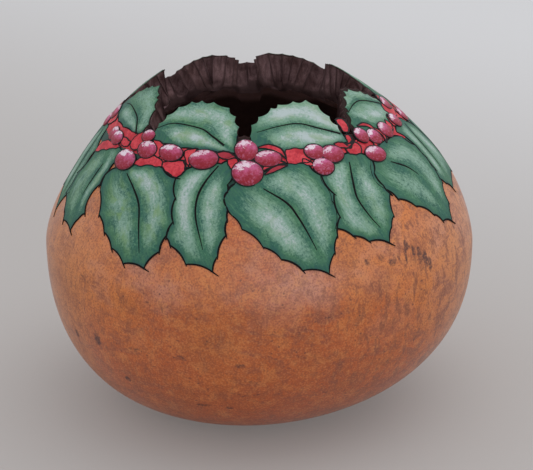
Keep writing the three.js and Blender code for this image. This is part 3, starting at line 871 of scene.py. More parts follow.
class Finish:
    """One material and its nodes."""

    def __init__(self, name, **constants):
        self.material = bpy.data.materials.new(name)
        self.material.use_nodes = True
        self.tree = self.material.node_tree
        self.shader = self.tree.nodes["Principled BSDF"]
        for socket, value in constants.items():
            self.shader.inputs[socket.replace("_", " ")].default_value = value

    def node(self, kind, settings=None, values=None, output=0):
        node = self.tree.nodes.new(kind)
        for name, value in (settings or {}).items():
            setattr(node, name, value)
        for name, value in (values or {}).items():
            if isinstance(value, Field):
                self.tree.links.new(value.socket, node.inputs[name])
            else:
                node.inputs[name].default_value = value
        return Field(self, node.outputs[output])

    def attribute(self, name):
        return self.node("ShaderNodeAttribute", {"attribute_name": name}, output="Vector")

    def split(self, vector):
        kind = "ShaderNodeSeparateXYZ"
        return [self.node(kind, None, {0: vector}, output) for output in range(3)]

    def vector(self, x, y, z):
        return self.node("ShaderNodeCombineXYZ", None, {0: x, 1: y, 2: z})

    def place(self):
        """The point in the object's own space, in metres."""
        return self.node("ShaderNodeTexCoord", output="Object")

    def stretch(self, vector, x, y, z):
        values = {0: vector, 1: (x, y, z)}
        return self.node("ShaderNodeVectorMath", {"operation": "MULTIPLY"}, values)

    def noise(self, vector, scale, detail=3.0, roughness=0.5, distortion=0.0):
        values = {"Vector": vector, "Scale": scale, "Detail": detail, "Roughness": roughness,
                  "Distortion": distortion}
        return self.node("ShaderNodeTexNoise", None, values)

    def cells(self, vector, scale):
        return self.node("ShaderNodeTexVoronoi", None, {"Vector": vector, "Scale": scale})

    def mix(self, factor, first, second):
        values = {0: factor, 6: first, 7: second}
        return self.node("ShaderNodeMix", {"data_type": "RGBA"}, values, 2)

    def layers(self, colour, coats):
        """The colour under a list of coats, each a factor and a colour as a photograph writes it."""
        for factor, coat in coats:
            colour = self.mix(factor, colour, linear(*coat))
        return colour

    def bump(self, height, strength, distance):
        values = {"Height": height, "Strength": strength, "Distance": distance}
        return self.node("ShaderNodeBump", None, values)

    def paint(self, **fields):
        for socket, field in fields.items():
            self.tree.links.new(field.socket, self.shader.inputs[socket.replace("_", " ")])
        return self.material


# %% [markdown]
# ### Dried gourd skin
#
# Waxed gourd skin is an orange tan under a cloud of paler and darker stains, with fine dark specks
# where mould grew while it dried, short streaks that run up and down, and pinkish pale patches on the
# upper body, partly skin colour and partly painted sheen. Each of these is one noise at its own size,
# and they are laid over each other from the largest to the smallest.
#
# Over the whole gourd the tone changes with the place: a deeper orange brown low down and in the
# front middle, paler sides that are a painted rim light, a pink painted sheen under the leaves, and
# more wear on the right. The old marks are broken up by a torn noise at their edges and a smeared one
# inside.

# %% The rind's finish
def rind_finish():
    finish = Finish("waxed_gourd_rind", Roughness=0.4, IOR=1.45, Coat_Roughness=0.26)
    place = finish.place()
    right, _, height = finish.split(place)
    upright = finish.stretch(place, 1.0, 1.0, 0.35)
    level = finish.stretch(place, 1.0, 1.0, 2.6)
    clouds = finish.noise(place, 14, 3, 0.55)
    patches = finish.noise(place, 34, 4, 0.6, 0.4)
    blots = finish.noise(level, 62, 4, 0.62, 0.5)
    mottle = finish.noise(place, 150, 4, 0.65)
    streaks = finish.noise(upright, 300, 3, 0.6)
    grain = finish.noise(place, 1100, 2, 0.6)
    busy = finish.noise(place, 19, 2).ramp(0.38, 0.60) * 0.5
    busy = 0.32 + busy + right.ramp(-0.06, 0.08) * 0.25
    deep = height.ramp(0.112, 0.02) * (0.70 + right.bell(0.0, 0.08) * 0.3)
    # Painted rim light: the two sides of the gourd are painted paler.
    side = right.size().ramp(0.070, 0.108)
    # Darker brown in the front middle of the body.
    front_darkening = height.bell(0.084, 0.034) * right.bell(-0.012, 0.075)
    # Pale pinkish patches on the upper body: partly skin colour, partly painted sheen.
    pale = patches.ramp(0.50, 0.66) * height.ramp(0.05, 0.095)
    # Painted sheen: a patchy pink band painted on the skin under the leaves.
    painted_sheen = 0.2 + finish.noise(place, 26, 3, 0.6, 0.3).ramp(0.42, 0.60)
    painted_sheen = height.bell(0.106, 0.022) * painted_sheen
    worn = 0.35 + right.ramp(0.0, 0.08) * 0.4
    crowd = finish.noise(place, 45, 2)
    speck = finish.cells(place, 230).ramp(0.17, 0.07) * crowd.ramp(0.48, 0.58)
    fleck = finish.cells(level, 90).ramp(0.14, 0.05) * crowd.ramp(0.54, 0.64)
    stain, bruise, _ = finish.split(finish.attribute("skin_marks"))
    torn = finish.noise(place, 520, 4, 0.65) - 0.5
    smear = finish.noise(finish.stretch(place, 1.0, 1.0, 1.4), 400, 4, 0.7)
    mark = (bruise + torn * 2.2 * bruise.ramp(0.0, 0.3)).ramp(0.2, 1.1)
    mark = mark * (0.4 + smear.ramp(0.42, 0.54) * 0.6)
    ragged = (stain + torn * 0.7).ramp(0.4, 0.62)
    colour = finish.mix(clouds.ramp(0.36, 0.64), linear(214, 126, 60), linear(192, 96, 42))
    colour = finish.layers(colour, [
        (deep, (176, 82, 36)),
        (side * 0.4, (200, 146, 100)),
        (front_darkening * 0.4, (158, 76, 38)),
        (pale * 0.5, (190, 128, 104)),
        (painted_sheen * 0.45, (196, 142, 126)),
        (patches.ramp(0.48, 0.32) * 0.4, (152, 80, 42)),
        (blots.ramp(0.51, 0.64) * 0.6 * busy, (138, 76, 58)),
        (blots.ramp(0.46, 0.32) * 0.3, (206, 126, 64)),
        (mottle.ramp(0.51, 0.62) * 0.5 * busy, (142, 78, 54)),
        (mottle.ramp(0.48, 0.36) * 0.35, (212, 134, 74)),
        (streaks.ramp(0.52, 0.66) * worn, (132, 74, 52)),
        (grain.ramp(0.52, 0.64) * 0.5, (126, 70, 50)),
        (grain.ramp(0.48, 0.36) * 0.35, (218, 146, 90)),
        (speck.most(fleck) * 0.65, (88, 48, 42)),
        (mark * 0.85, (72, 44, 44)),
        (ragged, (40, 22, 20)),
    ])
    roughness = 0.33 + mottle * 0.18 + ragged * 0.6 + mark * 0.15
    coat = (1 - ragged) * (0.15 + clouds.ramp(0.4, 0.6) * 0.25)
    relief = mottle * 0.5 + streaks * 0.3 + grain * 0.2 - mark * 0.4
    normal = finish.bump(relief, 0.25, 0.0006)
    return finish.paint(Base_Color=colour, Roughness=roughness, Coat_Weight=coat, Normal=normal)


# %% [markdown]
# ### Stained cork
# The wall was stained dark brown after carving. Cork drinks stain unevenly, with fine streaks along
# the cuts. Everywhere but the flute floors is painted darker, which along the ridges is painted shade
# of the step where one cut meets the next. A hand with a brush reaches only the upper part, so the
# bottom keeps the pale tan of dry cork, which throws light back up the wall. A band below the cut
# face, which lies in shade, is painted paler as painted fill light.

# %% The wall's finish
def wall_finish():
    finish = Finish("stained_cork_wall", Roughness=0.85, Specular_IOR_Level=0.25)
    place = finish.place()
    groove, down, raw = finish.split(finish.attribute("carved"))
    upright = finish.stretch(place, 1.0, 1.0, 0.22)
    streaks = finish.noise(upright, 420, 4, 0.65)
    clouds = finish.noise(place, 70, 3, 0.6)
    fine = finish.noise(place, 1300, 3, 0.7)
    # Painted fill light: a band below the cut face, which lies in shade, is painted paler.
    under = down.ramp(21, 29) * down.ramp(50, 36)
    colour = finish.mix(streaks.ramp(0.32, 0.70), linear(90, 66, 67), linear(134, 104, 106))
    colour = finish.layers(colour, [
        (clouds.ramp(0.42, 0.66) * 0.5, (72, 44, 40)),
        # Painted shade: darker along the ridges between flutes, and wherever there is no flute.
        (groove.ramp(1.3, 0.3) * 0.75, (56, 38, 38)),
        (down.ramp(9, 19) * 0.45, (60, 40, 40)),
        (raw.ramp(0.7, 0.0) * down.ramp(14, 22) * 0.3, (58, 38, 36)),
        (under * 0.75, (164, 132, 138)),
        (down.ramp(94, 108), (192, 168, 148)),
        (fine.ramp(0.52, 0.64) * 0.35, (46, 31, 30)),
    ])
    normal = finish.bump(streaks * 0.5 + fine * 0.5, 0.5, 0.0007)
    return finish.paint(Base_Color=colour, Normal=normal)


# %% Put on the rind and the wall
rind = wear(build_rind(rind_finish()), "rind", "outer_skin")
wall = wear(build_wall(wall_finish()), "wall", "inner_wall")
print("rind points:", len(rind.data.vertices), "wall points:", len(wall.data.vertices))

# %% [markdown]
# ## Painted coats
#
# The garland is acrylic paint inside outlines that were burned with a hot wire. Each painted thing
# gets a thin closed film, and a burned line is a low strip with a slight ridge along its middle. A
# higher layer covers a lower one, and its burned outline covers both. All this could be one image
# wrapped round the gourd, but then no leaf could be changed, left out or lit by itself, and up
# close the edges would blur.

# %% Heights of the coats
FILM_BOTTOM = 0.02
FILM_START = 0.14
FILM_STEP = 0.05
INK_RISE = 0.06
RIBBON_TOP = 0.46
BERRY_SEAT = 0.4


def layer_top(layer):
    return FILM_START + FILM_STEP * layer


# %% Films of paint and burned lines
PATCH_STEP = 1.5
LINE_SECTION = ((0.5, 0.08), (0, 0), (-0.5, 0.08), (-0.5, 1), (0.5, 1))
PAST_STEP = 0.5
TINY = 1e-9


def add_film(part, outline, centre, top, marks):
    """Adds a closed film of paint on the skin. The marks are worked out from its flat points."""
    flat, faces, rim = fill_outline(outline, PATCH_STEP)
    azimuth, drop = to_place(flat, centre)
    count = len(flat)
    under = [[i + count for i in reversed(face)] for face in faces]
    walls = [[b, a, a + count, b + count] for a, b in rim]
    smooth = [True] * len(faces) + [False] * (len(faces) + len(walls))
    values = {name: np.tile(rows, (2, 1)) for name, rows in marks(flat).items()}
    points = np.concatenate([skin(azimuth, drop, top), skin(azimuth, drop, FILM_BOTTOM)])
    part.add(points, faces + under + walls, smooth, rim, **values)


def add_ink(part, path, widths, centre, top):
    """Adds a line along a flat path, raised over a coat. Its widths are spread evenly along it."""
    path = np.asarray(path, float)
    along = np.gradient(path, axis=0)
    along /= np.linalg.norm(along, axis=1)[:, None] + TINY
    across = np.stack([-along[:, 1], along[:, 0]], axis=1)
    width = np.interp(np.linspace(0, 1, len(path)), np.linspace(0, 1, len(widths)), widths)
    ridge = top + INK_RISE
    sides = []
    for side, sink in LINE_SECTION:
        azimuth, drop = to_place(path + across * (side * width)[:, None], centre)
        sides.append(skin(azimuth, drop, ridge - sink * (ridge - FILM_BOTTOM)))
    points = np.stack(sides, axis=1).reshape(-1, 3)
    corners = len(LINE_SECTION)
    faces = ring_quads(len(path), corners)
    faces.append(tuple(range(corners))[::-1])
    faces.append(tuple(range(len(points) - corners, len(points))))
    part.add(points, faces, False, ink=(1, 0, 0))


def arc_between(a, b, bulge):
    """Points from a to b on a shallow arc that bulges to the left of the way by a share of it."""
    a, b = np.asarray(a, float), np.asarray(b, float)
    chord = b - a
    count = max(3, int(np.hypot(*chord) / PATH_STEP))
    t = np.linspace(0, 1, count + 1)[:, None]
    left = np.array([chord[1], -chord[0]])
    return a + chord * t + left * bulge * 4 * t * (1 - t)


def overshoot(path, length):
    """The path, drawn on past its end as a quick hand does."""
    if length <= 0:
        return path
    way = path[-1] - path[-3]
    way = way / (np.hypot(*way) + TINY)
    extra = np.arange(1, int(length / PAST_STEP) + 1)[:, None] * PAST_STEP
    return np.concatenate([path, path[-1] + way * extra])


# %% [markdown]
# ### Brushed greens
#
# Each leaf was painted dark, then lit with a nearly dry brush along each half: a cloud of pale
# paint in the middle that breaks up into fine hatching and leaves the edges dark. The points carry
# where they lie: their share along the midrib, how far towards the edge, and the distance to the
# edge, and also their place in the leaf in millimetres. A soft noise in that place shapes the
# clouds, finer ones along the brush are the hatching, and their sum decides where the pale paint
# stuck. A leaf's tone says how light its left and right halves are, and how yellow.

# %% The leaves' finish
def leaf_finish():
    finish = Finish("brushed_leaf_paint", Roughness=0.5, Specular_IOR_Level=0.2)
    along, side, edge = finish.split(finish.attribute("leaf_place"))
    x, y, seed = finish.split(finish.attribute("leaf_mm"))
    left, right, warm = finish.split(finish.attribute("leaf_tone"))
    ink, _, _ = finish.split(finish.attribute("ink"))

    def brush(down, across, shift, *noise):
        return finish.noise(finish.vector(x * down, y * across, seed * shift), 1, *noise)

    clouds = brush(0.09, 0.13, 5, 2, 0.5)
    brushed = brush(0.14, 0.8, 11, 3, 0.65, 0.6)
    hatch = brush(0.65, 1.0, 3, 4, 0.8)
    weave = brush(1.3, 0.8, 7, 3, 0.75)
    out = side.size()
    on_right = side.ramp(-0.02, 0.02)
    light = left * (1 - on_right) + right * on_right
    band = out.bell(0.47, 0.55) * along.ramp(-0.05, 0.28) * along.ramp(1.0, 0.60)
    rough = (hatch - 0.5) * 1.2 + (weave - 0.5) * 1.0 + (brushed - 0.5) * 0.5
    lift = (light - 1.1).most(0) * 0.6
    lit = band * light.least(1.1) * (0.36 + clouds * 0.9) + lift + rough * (0.3 + band * 0.6)
    glow = warm * band * brush(0.13, 0.2, 2, 2).ramp(0.42, 0.70)
    ends = (along.ramp(0.80, 1.0) * 0.7).most(along.ramp(0.16, 0.0) * 0.8)
    shade = edge.ramp(3.4, 0.2).most(ends)
    teal = finish.mix(brushed.ramp(0.44, 0.58), linear(30, 73, 80), linear(46, 98, 76))
    colour = finish.mix(clouds.ramp(0.35, 0.65), linear(54, 104, 88), linear(74, 122, 92))
    colour = finish.layers(colour, [
        (rough.ramp(-0.03, -0.24) * 0.6, (34, 78, 74)),
        (rough.ramp(0.03, 0.24) * 0.5, (98, 148, 114)),
        (lit.ramp(0.16, 0.70) * 0.85, (134, 170, 152)),
        (lit.ramp(0.60, 1.15) * 0.78, (192, 202, 206)),
        (glow * (0.2 + hatch * 0.8), (114, 152, 88)),
    ])
    colour = finish.mix((shade * (0.6 + rough * 2.0)).clamp(), colour, teal)
    colour = finish.layers(colour, [
        (out.ramp(0.10, 0.0) * 0.2, (44, 92, 72)),
        (ink, (14, 12, 14)),
    ])
    roughness = 0.45 + hatch * 0.2 + ink * 0.3
    normal = finish.bump(hatch, 0.25, 0.0004)
    return finish.paint(Base_Color=colour, Roughness=roughness, Normal=normal)


leaf_paint = leaf_finish()
print("nodes of the leaf paint:", len(leaf_paint.node_tree.nodes))

# %% Places inside a leaf
TINY_GAP = 1e-6


def vein_places(flat, vein, outline, seed, tone, slack=0.0):
    """The marks of a leaf's points, from its midrib and its outline in the same flat millimetres.

    The slack is added to the distance from each point of the outline, where an edge stays pale.
    """
    to_vein = np.hypot(*(flat[:, None] - vein[None]).transpose(2, 0, 1))
    nearest = to_vein.argmin(axis=1)
    step = np.gradient(vein, axis=0)[nearest]
    offset = flat - vein[nearest]
    side = np.sign(step[:, 1] * offset[:, 0] - step[:, 0] * offset[:, 1])
    gap = (np.hypot(*(flat[:, None] - outline[None]).transpose(2, 0, 1)) + slack).min(axis=1)
    across = to_vein.min(axis=1)
    ratio = side * across / (across + gap + TINY_GAP)
    along = nearest / (len(vein) - 1)
    length = np.concatenate([[0], np.cumsum(np.hypot(*np.diff(vein, axis=0).T))])
    rows = len(flat)
    return {
        "leaf_place": np.stack([along, ratio, gap], axis=1),
        "leaf_mm": np.stack([length[nearest], side * across, np.full(rows, seed)], axis=1),
        "leaf_tone": np.tile(tone, (rows, 1)),
        "ink": np.zeros((rows, 3)),
    }


# %% [markdown]
# ### Lower leaves
#
# A holly leaf is told by its spines. Each side is a list of spines, as the share along the leaf and
# the millimetres from its straight middle line, and so is the midrib. Between two spines the edge
# is a hollow arc, and the shoulders near the base bulge. Its ends are an azimuth and the
# millimetres below the ribbon's middle line. The back leaves use one common pair of sides, scaled
# to their widths. The leaf's layer says which of two neighbours lies on top.
#
# The burned lines were drawn spine by spine, so each runs a little past its spine, and the last one
# of a left side leaves a tail past the tip. They are heavier near the base.

# %% The lower leaves
COMMON_SIDE = [(0.04, 0.55), (0.14, 0.88), (0.30, 1.0), (0.50, 0.92), (0.68, 0.72), (0.84, 0.45)]
COMMON_VEIN = [(0.10, 0.0), (0.35, 1.0), (0.60, 0.9), (0.85, 0.2)]


def common_leaf(base, tip, bow, left, right, layer, tone):
    bend = [4 * share * (1 - share) * bow for share, _ in COMMON_SIDE]
    return {
        "base": base, "tip": tip, "layer": layer, "tone": tone,
        "left": [(share, b - left * part) for (share, part), b in zip(COMMON_SIDE, bend)],
        "right": [(share, b + right * part) for (share, part), b in zip(COMMON_SIDE, bend)],
        "vein": [(share, bow * part) for share, part in COMMON_VEIN],
    }


LOWER_LEAVES = [
    common_leaf((-113, 7), (-106, 53), -6, 17, 17, 1, (0.7, 0.8, 0.3)),
    {"base": (-92, 5), "tip": (-81, 56), "layer": 2, "tone": (0.95, 0.6, 0.2),
     "left": [(0.04, -8), (0.17, -11.9), (0.38, -14.3), (0.70, -14.4)],
     "right": [(0.06, 12.3), (0.31, 17.4), (0.52, 14.4), (0.71, 11.1), (0.80, 12.1)],
     "vein": [(0.10, 5.6), (0.52, 3.7), (0.8, 1)]},
    {"base": (-68, 7), "tip": (-63, 55), "layer": 3, "tone": (0.7, 0.9, 0.5),
     "left": [(0.02, -7), (0.18, -13.8), (0.44, -23.2), (0.68, -25.9), (0.82, -16.7), (0.93, -12.3)],
     "right": [(0.05, 12.7), (0.18, 12.9), (0.30, 10.9), (0.46, 9.4), (0.64, 5.1), (0.79, 7.6),
               (0.86, 3.7)],
     "vein": [(0.24, 3), (0.45, -0.2), (0.62, -2.4)]},
    {"base": (-51, 9), "tip": (-31, 58), "layer": 4, "tone": (0.75, 1.0, 1.1),
     "left": [(0.03, -10.5), (0.06, -19.6), (0.18, -22.6), (0.39, -22.9), (0.56, -19.6),
              (0.72, -15.8), (0.89, -10.4)],
     "right": [(0.09, 3.9), (0.12, 11.2), (0.21, 18.7), (0.34, 24.3), (0.52, 22.1), (0.72, 18.8),
               (0.81, 14.5), (0.92, 9.5)],
     "vein": [(0.12, -2.9), (0.28, 0.8), (0.45, 2.9), (0.65, 1.2), (0.86, -0.6)]},
    {"base": (-13, 2), "tip": (-12, 55), "layer": 2, "tone": (1.1, 1.0, 0.3),
     "left": [(0.02, -9), (0.19, -23.4), (0.32, -25.6), (0.45, -24.7), (0.73, -25.5), (0.80, -22.6),
              (0.95, -13.5)],
     "right": [(-0.04, 5.1), (0.06, 6.6), (0.20, 3.4), (0.29, 3.4), (0.40, 5), (0.53, 4.3),
               (0.67, 4.4), (0.86, 1.5)],
     "vein": [(0.02, -1.3), (0.18, -7.2), (0.34, -10.9), (0.53, -11), (0.81, -6)]},
    {"base": (-3, 7), "tip": (18, 57), "layer": 5, "tone": (1.0, 1.0, 0.4),
     "left": [(0, -9.3), (0.02, -14.6), (0.05, -18.7), (0.11, -20.3), (0.19, -20.7), (0.31, -21),
              (0.51, -18), (0.67, -14.3), (0.84, -9.2)],
     "right": [(0.05, 5.6), (0.09, 16.1), (0.14, 21.8), (0.22, 26.4), (0.35, 27.3), (0.53, 25.5),
               (0.70, 20.2), (0.80, 13.6), (0.89, 7.9)],
     "vein": [(0.15, 0.6), (0.34, 4.5), (0.49, 4.2), (0.78, 1.6)]},
    {"base": (34, 1), "tip": (37, 48), "layer": 4, "tone": (1.0, 0.9, 0.5),
     "left": [(0.04, -11), (0.13, -17.6), (0.24, -19.2), (0.41, -20.0), (0.69, -25.3), (0.81, -18),
              (0.91, -11)],
     "right": [(0.04, 9), (0.15, 13.8), (0.29, 10), (0.44, 10.9), (0.54, 12.2), (0.76, 8.2),
               (0.85, 4.4)],
     "vein": [(0.09, 0.6), (0.27, -3.7), (0.46, -6.9), (0.66, -5.4), (0.82, -2.3)]},
    {"base": (49, 4), "tip": (66, 52), "layer": 3, "tone": (0.7, 0.8, 0.1),
     "left": [(0, -9.9), (0.10, -19), (0.21, -18.6), (0.33, -19), (0.51, -14.4), (0.72, -9.2),
              (0.86, -6.8)],
     "right": [(0.08, 13.5), (0.25, 24.4), (0.42, 26.2), (0.55, 23.9), (0.67, 21.2), (0.78, 16.6),
               (0.81, 11.2), (0.89, 8.1)],
     "vein": [(0.15, 0), (0.31, 4.4), (0.45, 5.6)]},
    {"base": (85, -1), "tip": (78, 41), "layer": 2, "tone": (0.9, 0.9, 0.2),
     "left": [(0.05, -10), (0.15, -18.3), (0.30, -13), (0.48, -12.1), (0.64, -11.8), (0.84, -12.4),
              (0.91, -7.2)],
     "right": [(0.07, 5), (0.20, 14.6), (0.40, 21.3), (0.61, 24.7), (0.82, 23.7)],
     "vein": [(0.08, -0.8), (0.32, -2.3), (0.71, -0.5)]},
    common_leaf((103, 3), (106, 51), 5, 18, 18, 1, (0.8, 0.9, 0.3)),
    common_leaf((128, 5), (127, 54), -7, 18, 18, 3, (1.0, 0.8, 0.3)),
    common_leaf((140, 5), (156, 55), 5, 20, 20, 2, (0.9, 1.0, 0.5)),
    common_leaf((176, 3), (176, 53), -7, 18, 18, 4, (0.9, 0.8, 0.2)),
    common_leaf((187, 5), (204, 56), 5, 21, 20, 3, (1.0, 0.9, 0.6)),
    common_leaf((221, 3), (221, 51), -7, 17, 17, 2, (0.8, 0.9, 0.3)),
    common_leaf((231, 5), (243, 55), 4, 17, 17, 3, (0.9, 0.8, 0.4)),
]
SHOULDER_SHARE = 0.295
SHOULDER_BULGE = -0.10
HOLLOW_BULGE = 0.10
HEAVY_LINE = 1.15
LINE_SPREAD = (0.75, 1.0)
LINE_END = 0.3
LOWER_VEIN_LINE = (0.6, 1.1, 0.85, LINE_END)
PAST_SPINE = (0.8, 3.0)
PAST_TIP = (3.5, 0.5)
LOWER_SEED = 1.37


def leaf_sides(leaf, centre):
    """The left and right edges from base to tip as lists of arcs, and the midrib's points."""
    base = to_flat(leaf["base"][0], RIBBON_DROP + leaf["base"][1], centre)
    tip = to_flat(leaf["tip"][0], RIBBON_DROP + leaf["tip"][1], centre)
    chord = tip - base
    along = chord / np.hypot(*chord)
    right = np.array([along[1], -along[0]])

    def at(share, across):
        return base + chord * share + right * across

    sides = []
    for name, hand in (("left", 1), ("right", -1)):
        places = [(0, 0), *leaf[name], (1, 0)]
        arcs = []
        for (share, across), (next_share, next_across) in zip(places, places[1:]):
            shoulder = next_share < SHOULDER_SHARE
            bulge = hand * (SHOULDER_BULGE if shoulder else HOLLOW_BULGE)
            path = arc_between(at(share, across), at(next_share, next_across), bulge)
            arcs.append((path, shoulder))
        sides.append(arcs)
    vein = [at(share, across) for share, across in leaf["vein"]]
    return sides, vein, at(0, 0), at(1, 0)


def build_lower_leaf(index, leaf, random):
    part = Part("leaf_place", "leaf_mm", "leaf_tone", "ink")
    centre = (leaf["base"][0] + leaf["tip"][0]) / 2
    sides, vein, base, tip = leaf_sides(leaf, centre)
    top = layer_top(leaf["layer"])
    left = np.concatenate([path[:-1] for path, _ in sides[0]])
    right = np.concatenate([path[:-1] for path, _ in sides[1]] + [[tip]])[1:]
    outline = np.concatenate([left, right[::-1]])
    midrib = smooth_path([base, *vein, tip])
    seed = index * LOWER_SEED
    add_film(part, outline, centre, top,
             lambda flat: vein_places(flat, midrib, outline, seed, leaf["tone"]))
    for arcs, past_tip in zip(sides, PAST_TIP):
        for i, (path, shoulder) in enumerate(arcs):
            past = 0 if shoulder else random.uniform(*PAST_SPINE)
            past = past_tip if i == len(arcs) - 1 else past
            width = random.uniform(*LINE_SPREAD) * (HEAVY_LINE if i < len(arcs) / 2 else 1)
            widths = [width * 0.8, width, width * 0.9, LINE_END]
            add_ink(part, overshoot(path, past), widths, centre, top)
    add_ink(part, smooth_path(vein), LOWER_VEIN_LINE, centre, top)
    return part.build(f"lower_leaf_{index}_paint", leaf_paint)


random = np.random.default_rng(5)
for number, leaf in enumerate(LOWER_LEAVES, 1):
    wear(build_lower_leaf(number, leaf, random), "leaf_paint", f"lower_leaf_{number}")
print("lower leaves:", len(LOWER_LEAVES))

# %% [markdown]
# ### Upper leaves
#
# One leaf lies on each scallop. Its upper edge is the carved rim itself, so its outline follows the
# columns of the rim, and no burned line is drawn there. Its lower edge has spines of its own, and
# its midrib runs from side to side, as azimuths and drops.

# %% The upper leaves
UPPER_LEAVES = [
    {"tone": (0.7, 1.0, 0.3), "vein": [(-56.5, 29), (-64.5, 21), (-78, 19), (-88, 22)]},
    {"tone": (1.0, 1.2, 1.0),
     "vein": [(-12.5, 25), (-18, 20.5), (-25, 16.7), (-39, 16.7), (-47.5, 22.6)]},
    {"tone": (1.38, 1.4, 0.8), "vein": [(39, 23), (31, 18), (22, 13.5), (12, 14), (1.5, 17)]},
    {"tone": (0.8, 1.1, 0.4), "vein": [(83.5, 20), (71, 12), (61.5, 11), (51.5, 14)]},
    {"tone": (0.9, 1.0, 0.5), "vein": [(135, 23), (124, 16), (112, 13), (97, 19)]},
    {"tone": (0.8, 1.0, 0.3), "vein": [(178, 20), (170, 14), (158, 12), (146, 16)]},
    {"tone": (0.9, 0.9, 0.6), "vein": [(222, 23), (214, 16), (203, 13), (190, 17)]},
    {"tone": (0.8, 1.0, 0.4), "vein": [(261, 24), (257, 17), (250, 13), (244, 17)]},
]
UPPER_LAYER = 3
LEAF_FOOT = 29.5
FOOT_SPINES = 5
FOOT_ENDS = (0.97, 0.03)
FOOT_UNEVENNESS = 0.7
FOOT_BULGE = -0.07
FOOT_LINE = (0.5, 0.8, 0.7, LINE_END)
PAST_FOOT = (0.2, 1.0)
UPPER_VEIN_LINE = (1.05, 0.8, 0.6, LINE_END)
RIM_SLACK = 3.5
VEIN_END = (2.0, 1.0)
UPPER_SEEDS = (40, 1.7)


def build_upper_leaf(index, leaf, random):
    start, end = valleys_beside(index - 1)
    centre = (start[0] + end[0]) / 2
    chosen = (RIM_AZIMUTH > start[0] + start[4] / 2) & (RIM_AZIMUTH < end[0] - end[4] / 2)
    azimuth, drop = rim_moved(CUT_HOLLOW + BLEEDS[index - 1])
    upper = np.array([to_flat(a, d, centre) for a, d in zip(azimuth[chosen], drop[chosen])])
    spines = [upper[-1]]
    for share in np.linspace(*FOOT_ENDS, FOOT_SPINES + 1):
        spine = start[0] + (end[0] - start[0]) * share
        below = LEAF_FOOT + random.uniform(-FOOT_UNEVENNESS, FOOT_UNEVENNESS)
        spines.append(to_flat(spine, below, centre))
    spines.append(upper[0])
    lower = [arc_between(a, b, FOOT_BULGE) for a, b in zip(spines, spines[1:])]
    outline = np.concatenate([upper, *(path[1:] for path in lower)])[-2::-1]
    slack = np.where(np.arange(len(outline)) < len(outline) - len(upper), 0.0, RIM_SLACK)
    vein = [to_flat(a, d, centre) for a, d in leaf["vein"]]
    midrib = smooth_path([lower[1][0], *vein, upper[0] + VEIN_END])
    seed = UPPER_SEEDS[0] + index * UPPER_SEEDS[1]
    part = Part("leaf_place", "leaf_mm", "leaf_tone", "ink")
    top = layer_top(UPPER_LAYER)
    add_film(part, outline, centre, top,
             lambda flat: vein_places(flat, midrib, outline, seed, leaf["tone"], slack))
    for path in lower:
        past = 0 if path is lower[-1] else random.uniform(*PAST_FOOT)
        add_ink(part, overshoot(path, past), FOOT_LINE, centre, top)
    add_ink(part, smooth_path(vein), UPPER_VEIN_LINE, centre, top)
    return part.build(f"upper_leaf_{index}_paint", leaf_paint)


for number, leaf in enumerate(UPPER_LEAVES, 1):
    wear(build_upper_leaf(number, leaf, random), "leaf_paint", f"upper_leaf_{number}")
print("upper leaves:", len(UPPER_LEAVES))

# %% [markdown]
# ### Ribbon
#
# A red ribbon winds between the berries. It shows as separate bits: flat stretches, folded corners
# and thin curls, each inside a burned line. Every bit is a short closed outline, as an azimuth and
# the millimetres below the ribbon's middle line. Thin curls are given by their middle line and
# width, and two of them lie in the shade. The back has a plain wavy band of the same paint.
#
# Under the bits run two ground coats, a red one and a dark green one that reaches further down, so
# that no bare skin shows where the bits don't quite meet. A ground coat is its upper and its lower
# edge below the middle line, its height over the skin, and how green it is. A crease is a small
# dark oval under the place where two leaves touch, with its azimuth, its millimetres below the
# ribbon's middle line and its two half sizes.

# %% The ribbon's finish
def ribbon_finish():
    finish = Finish("red_ribbon_paint", Roughness=0.5, Specular_IOR_Level=0.2)
    place = finish.place()
    ink, deep, green = finish.split(finish.attribute("ink"))
    clouds = finish.noise(place, 160, 3, 0.6)
    fine = finish.noise(place, 620, 4, 0.7)
    colour = finish.mix(clouds.ramp(0.40, 0.60), linear(188, 43, 56), linear(214, 68, 79))
    colour = finish.layers(colour, [
        (fine.ramp(0.50, 0.62) * 0.5, (158, 36, 54)),
        (fine.ramp(0.46, 0.36) * 0.4, (226, 92, 96)),
        (deep, (140, 38, 54)),
        (green, (34, 72, 62)),
        (ink, (18, 14, 17)),
    ])
    normal = finish.bump(fine, 0.2, 0.0003)
    return finish.paint(Base_Color=colour, Normal=normal)


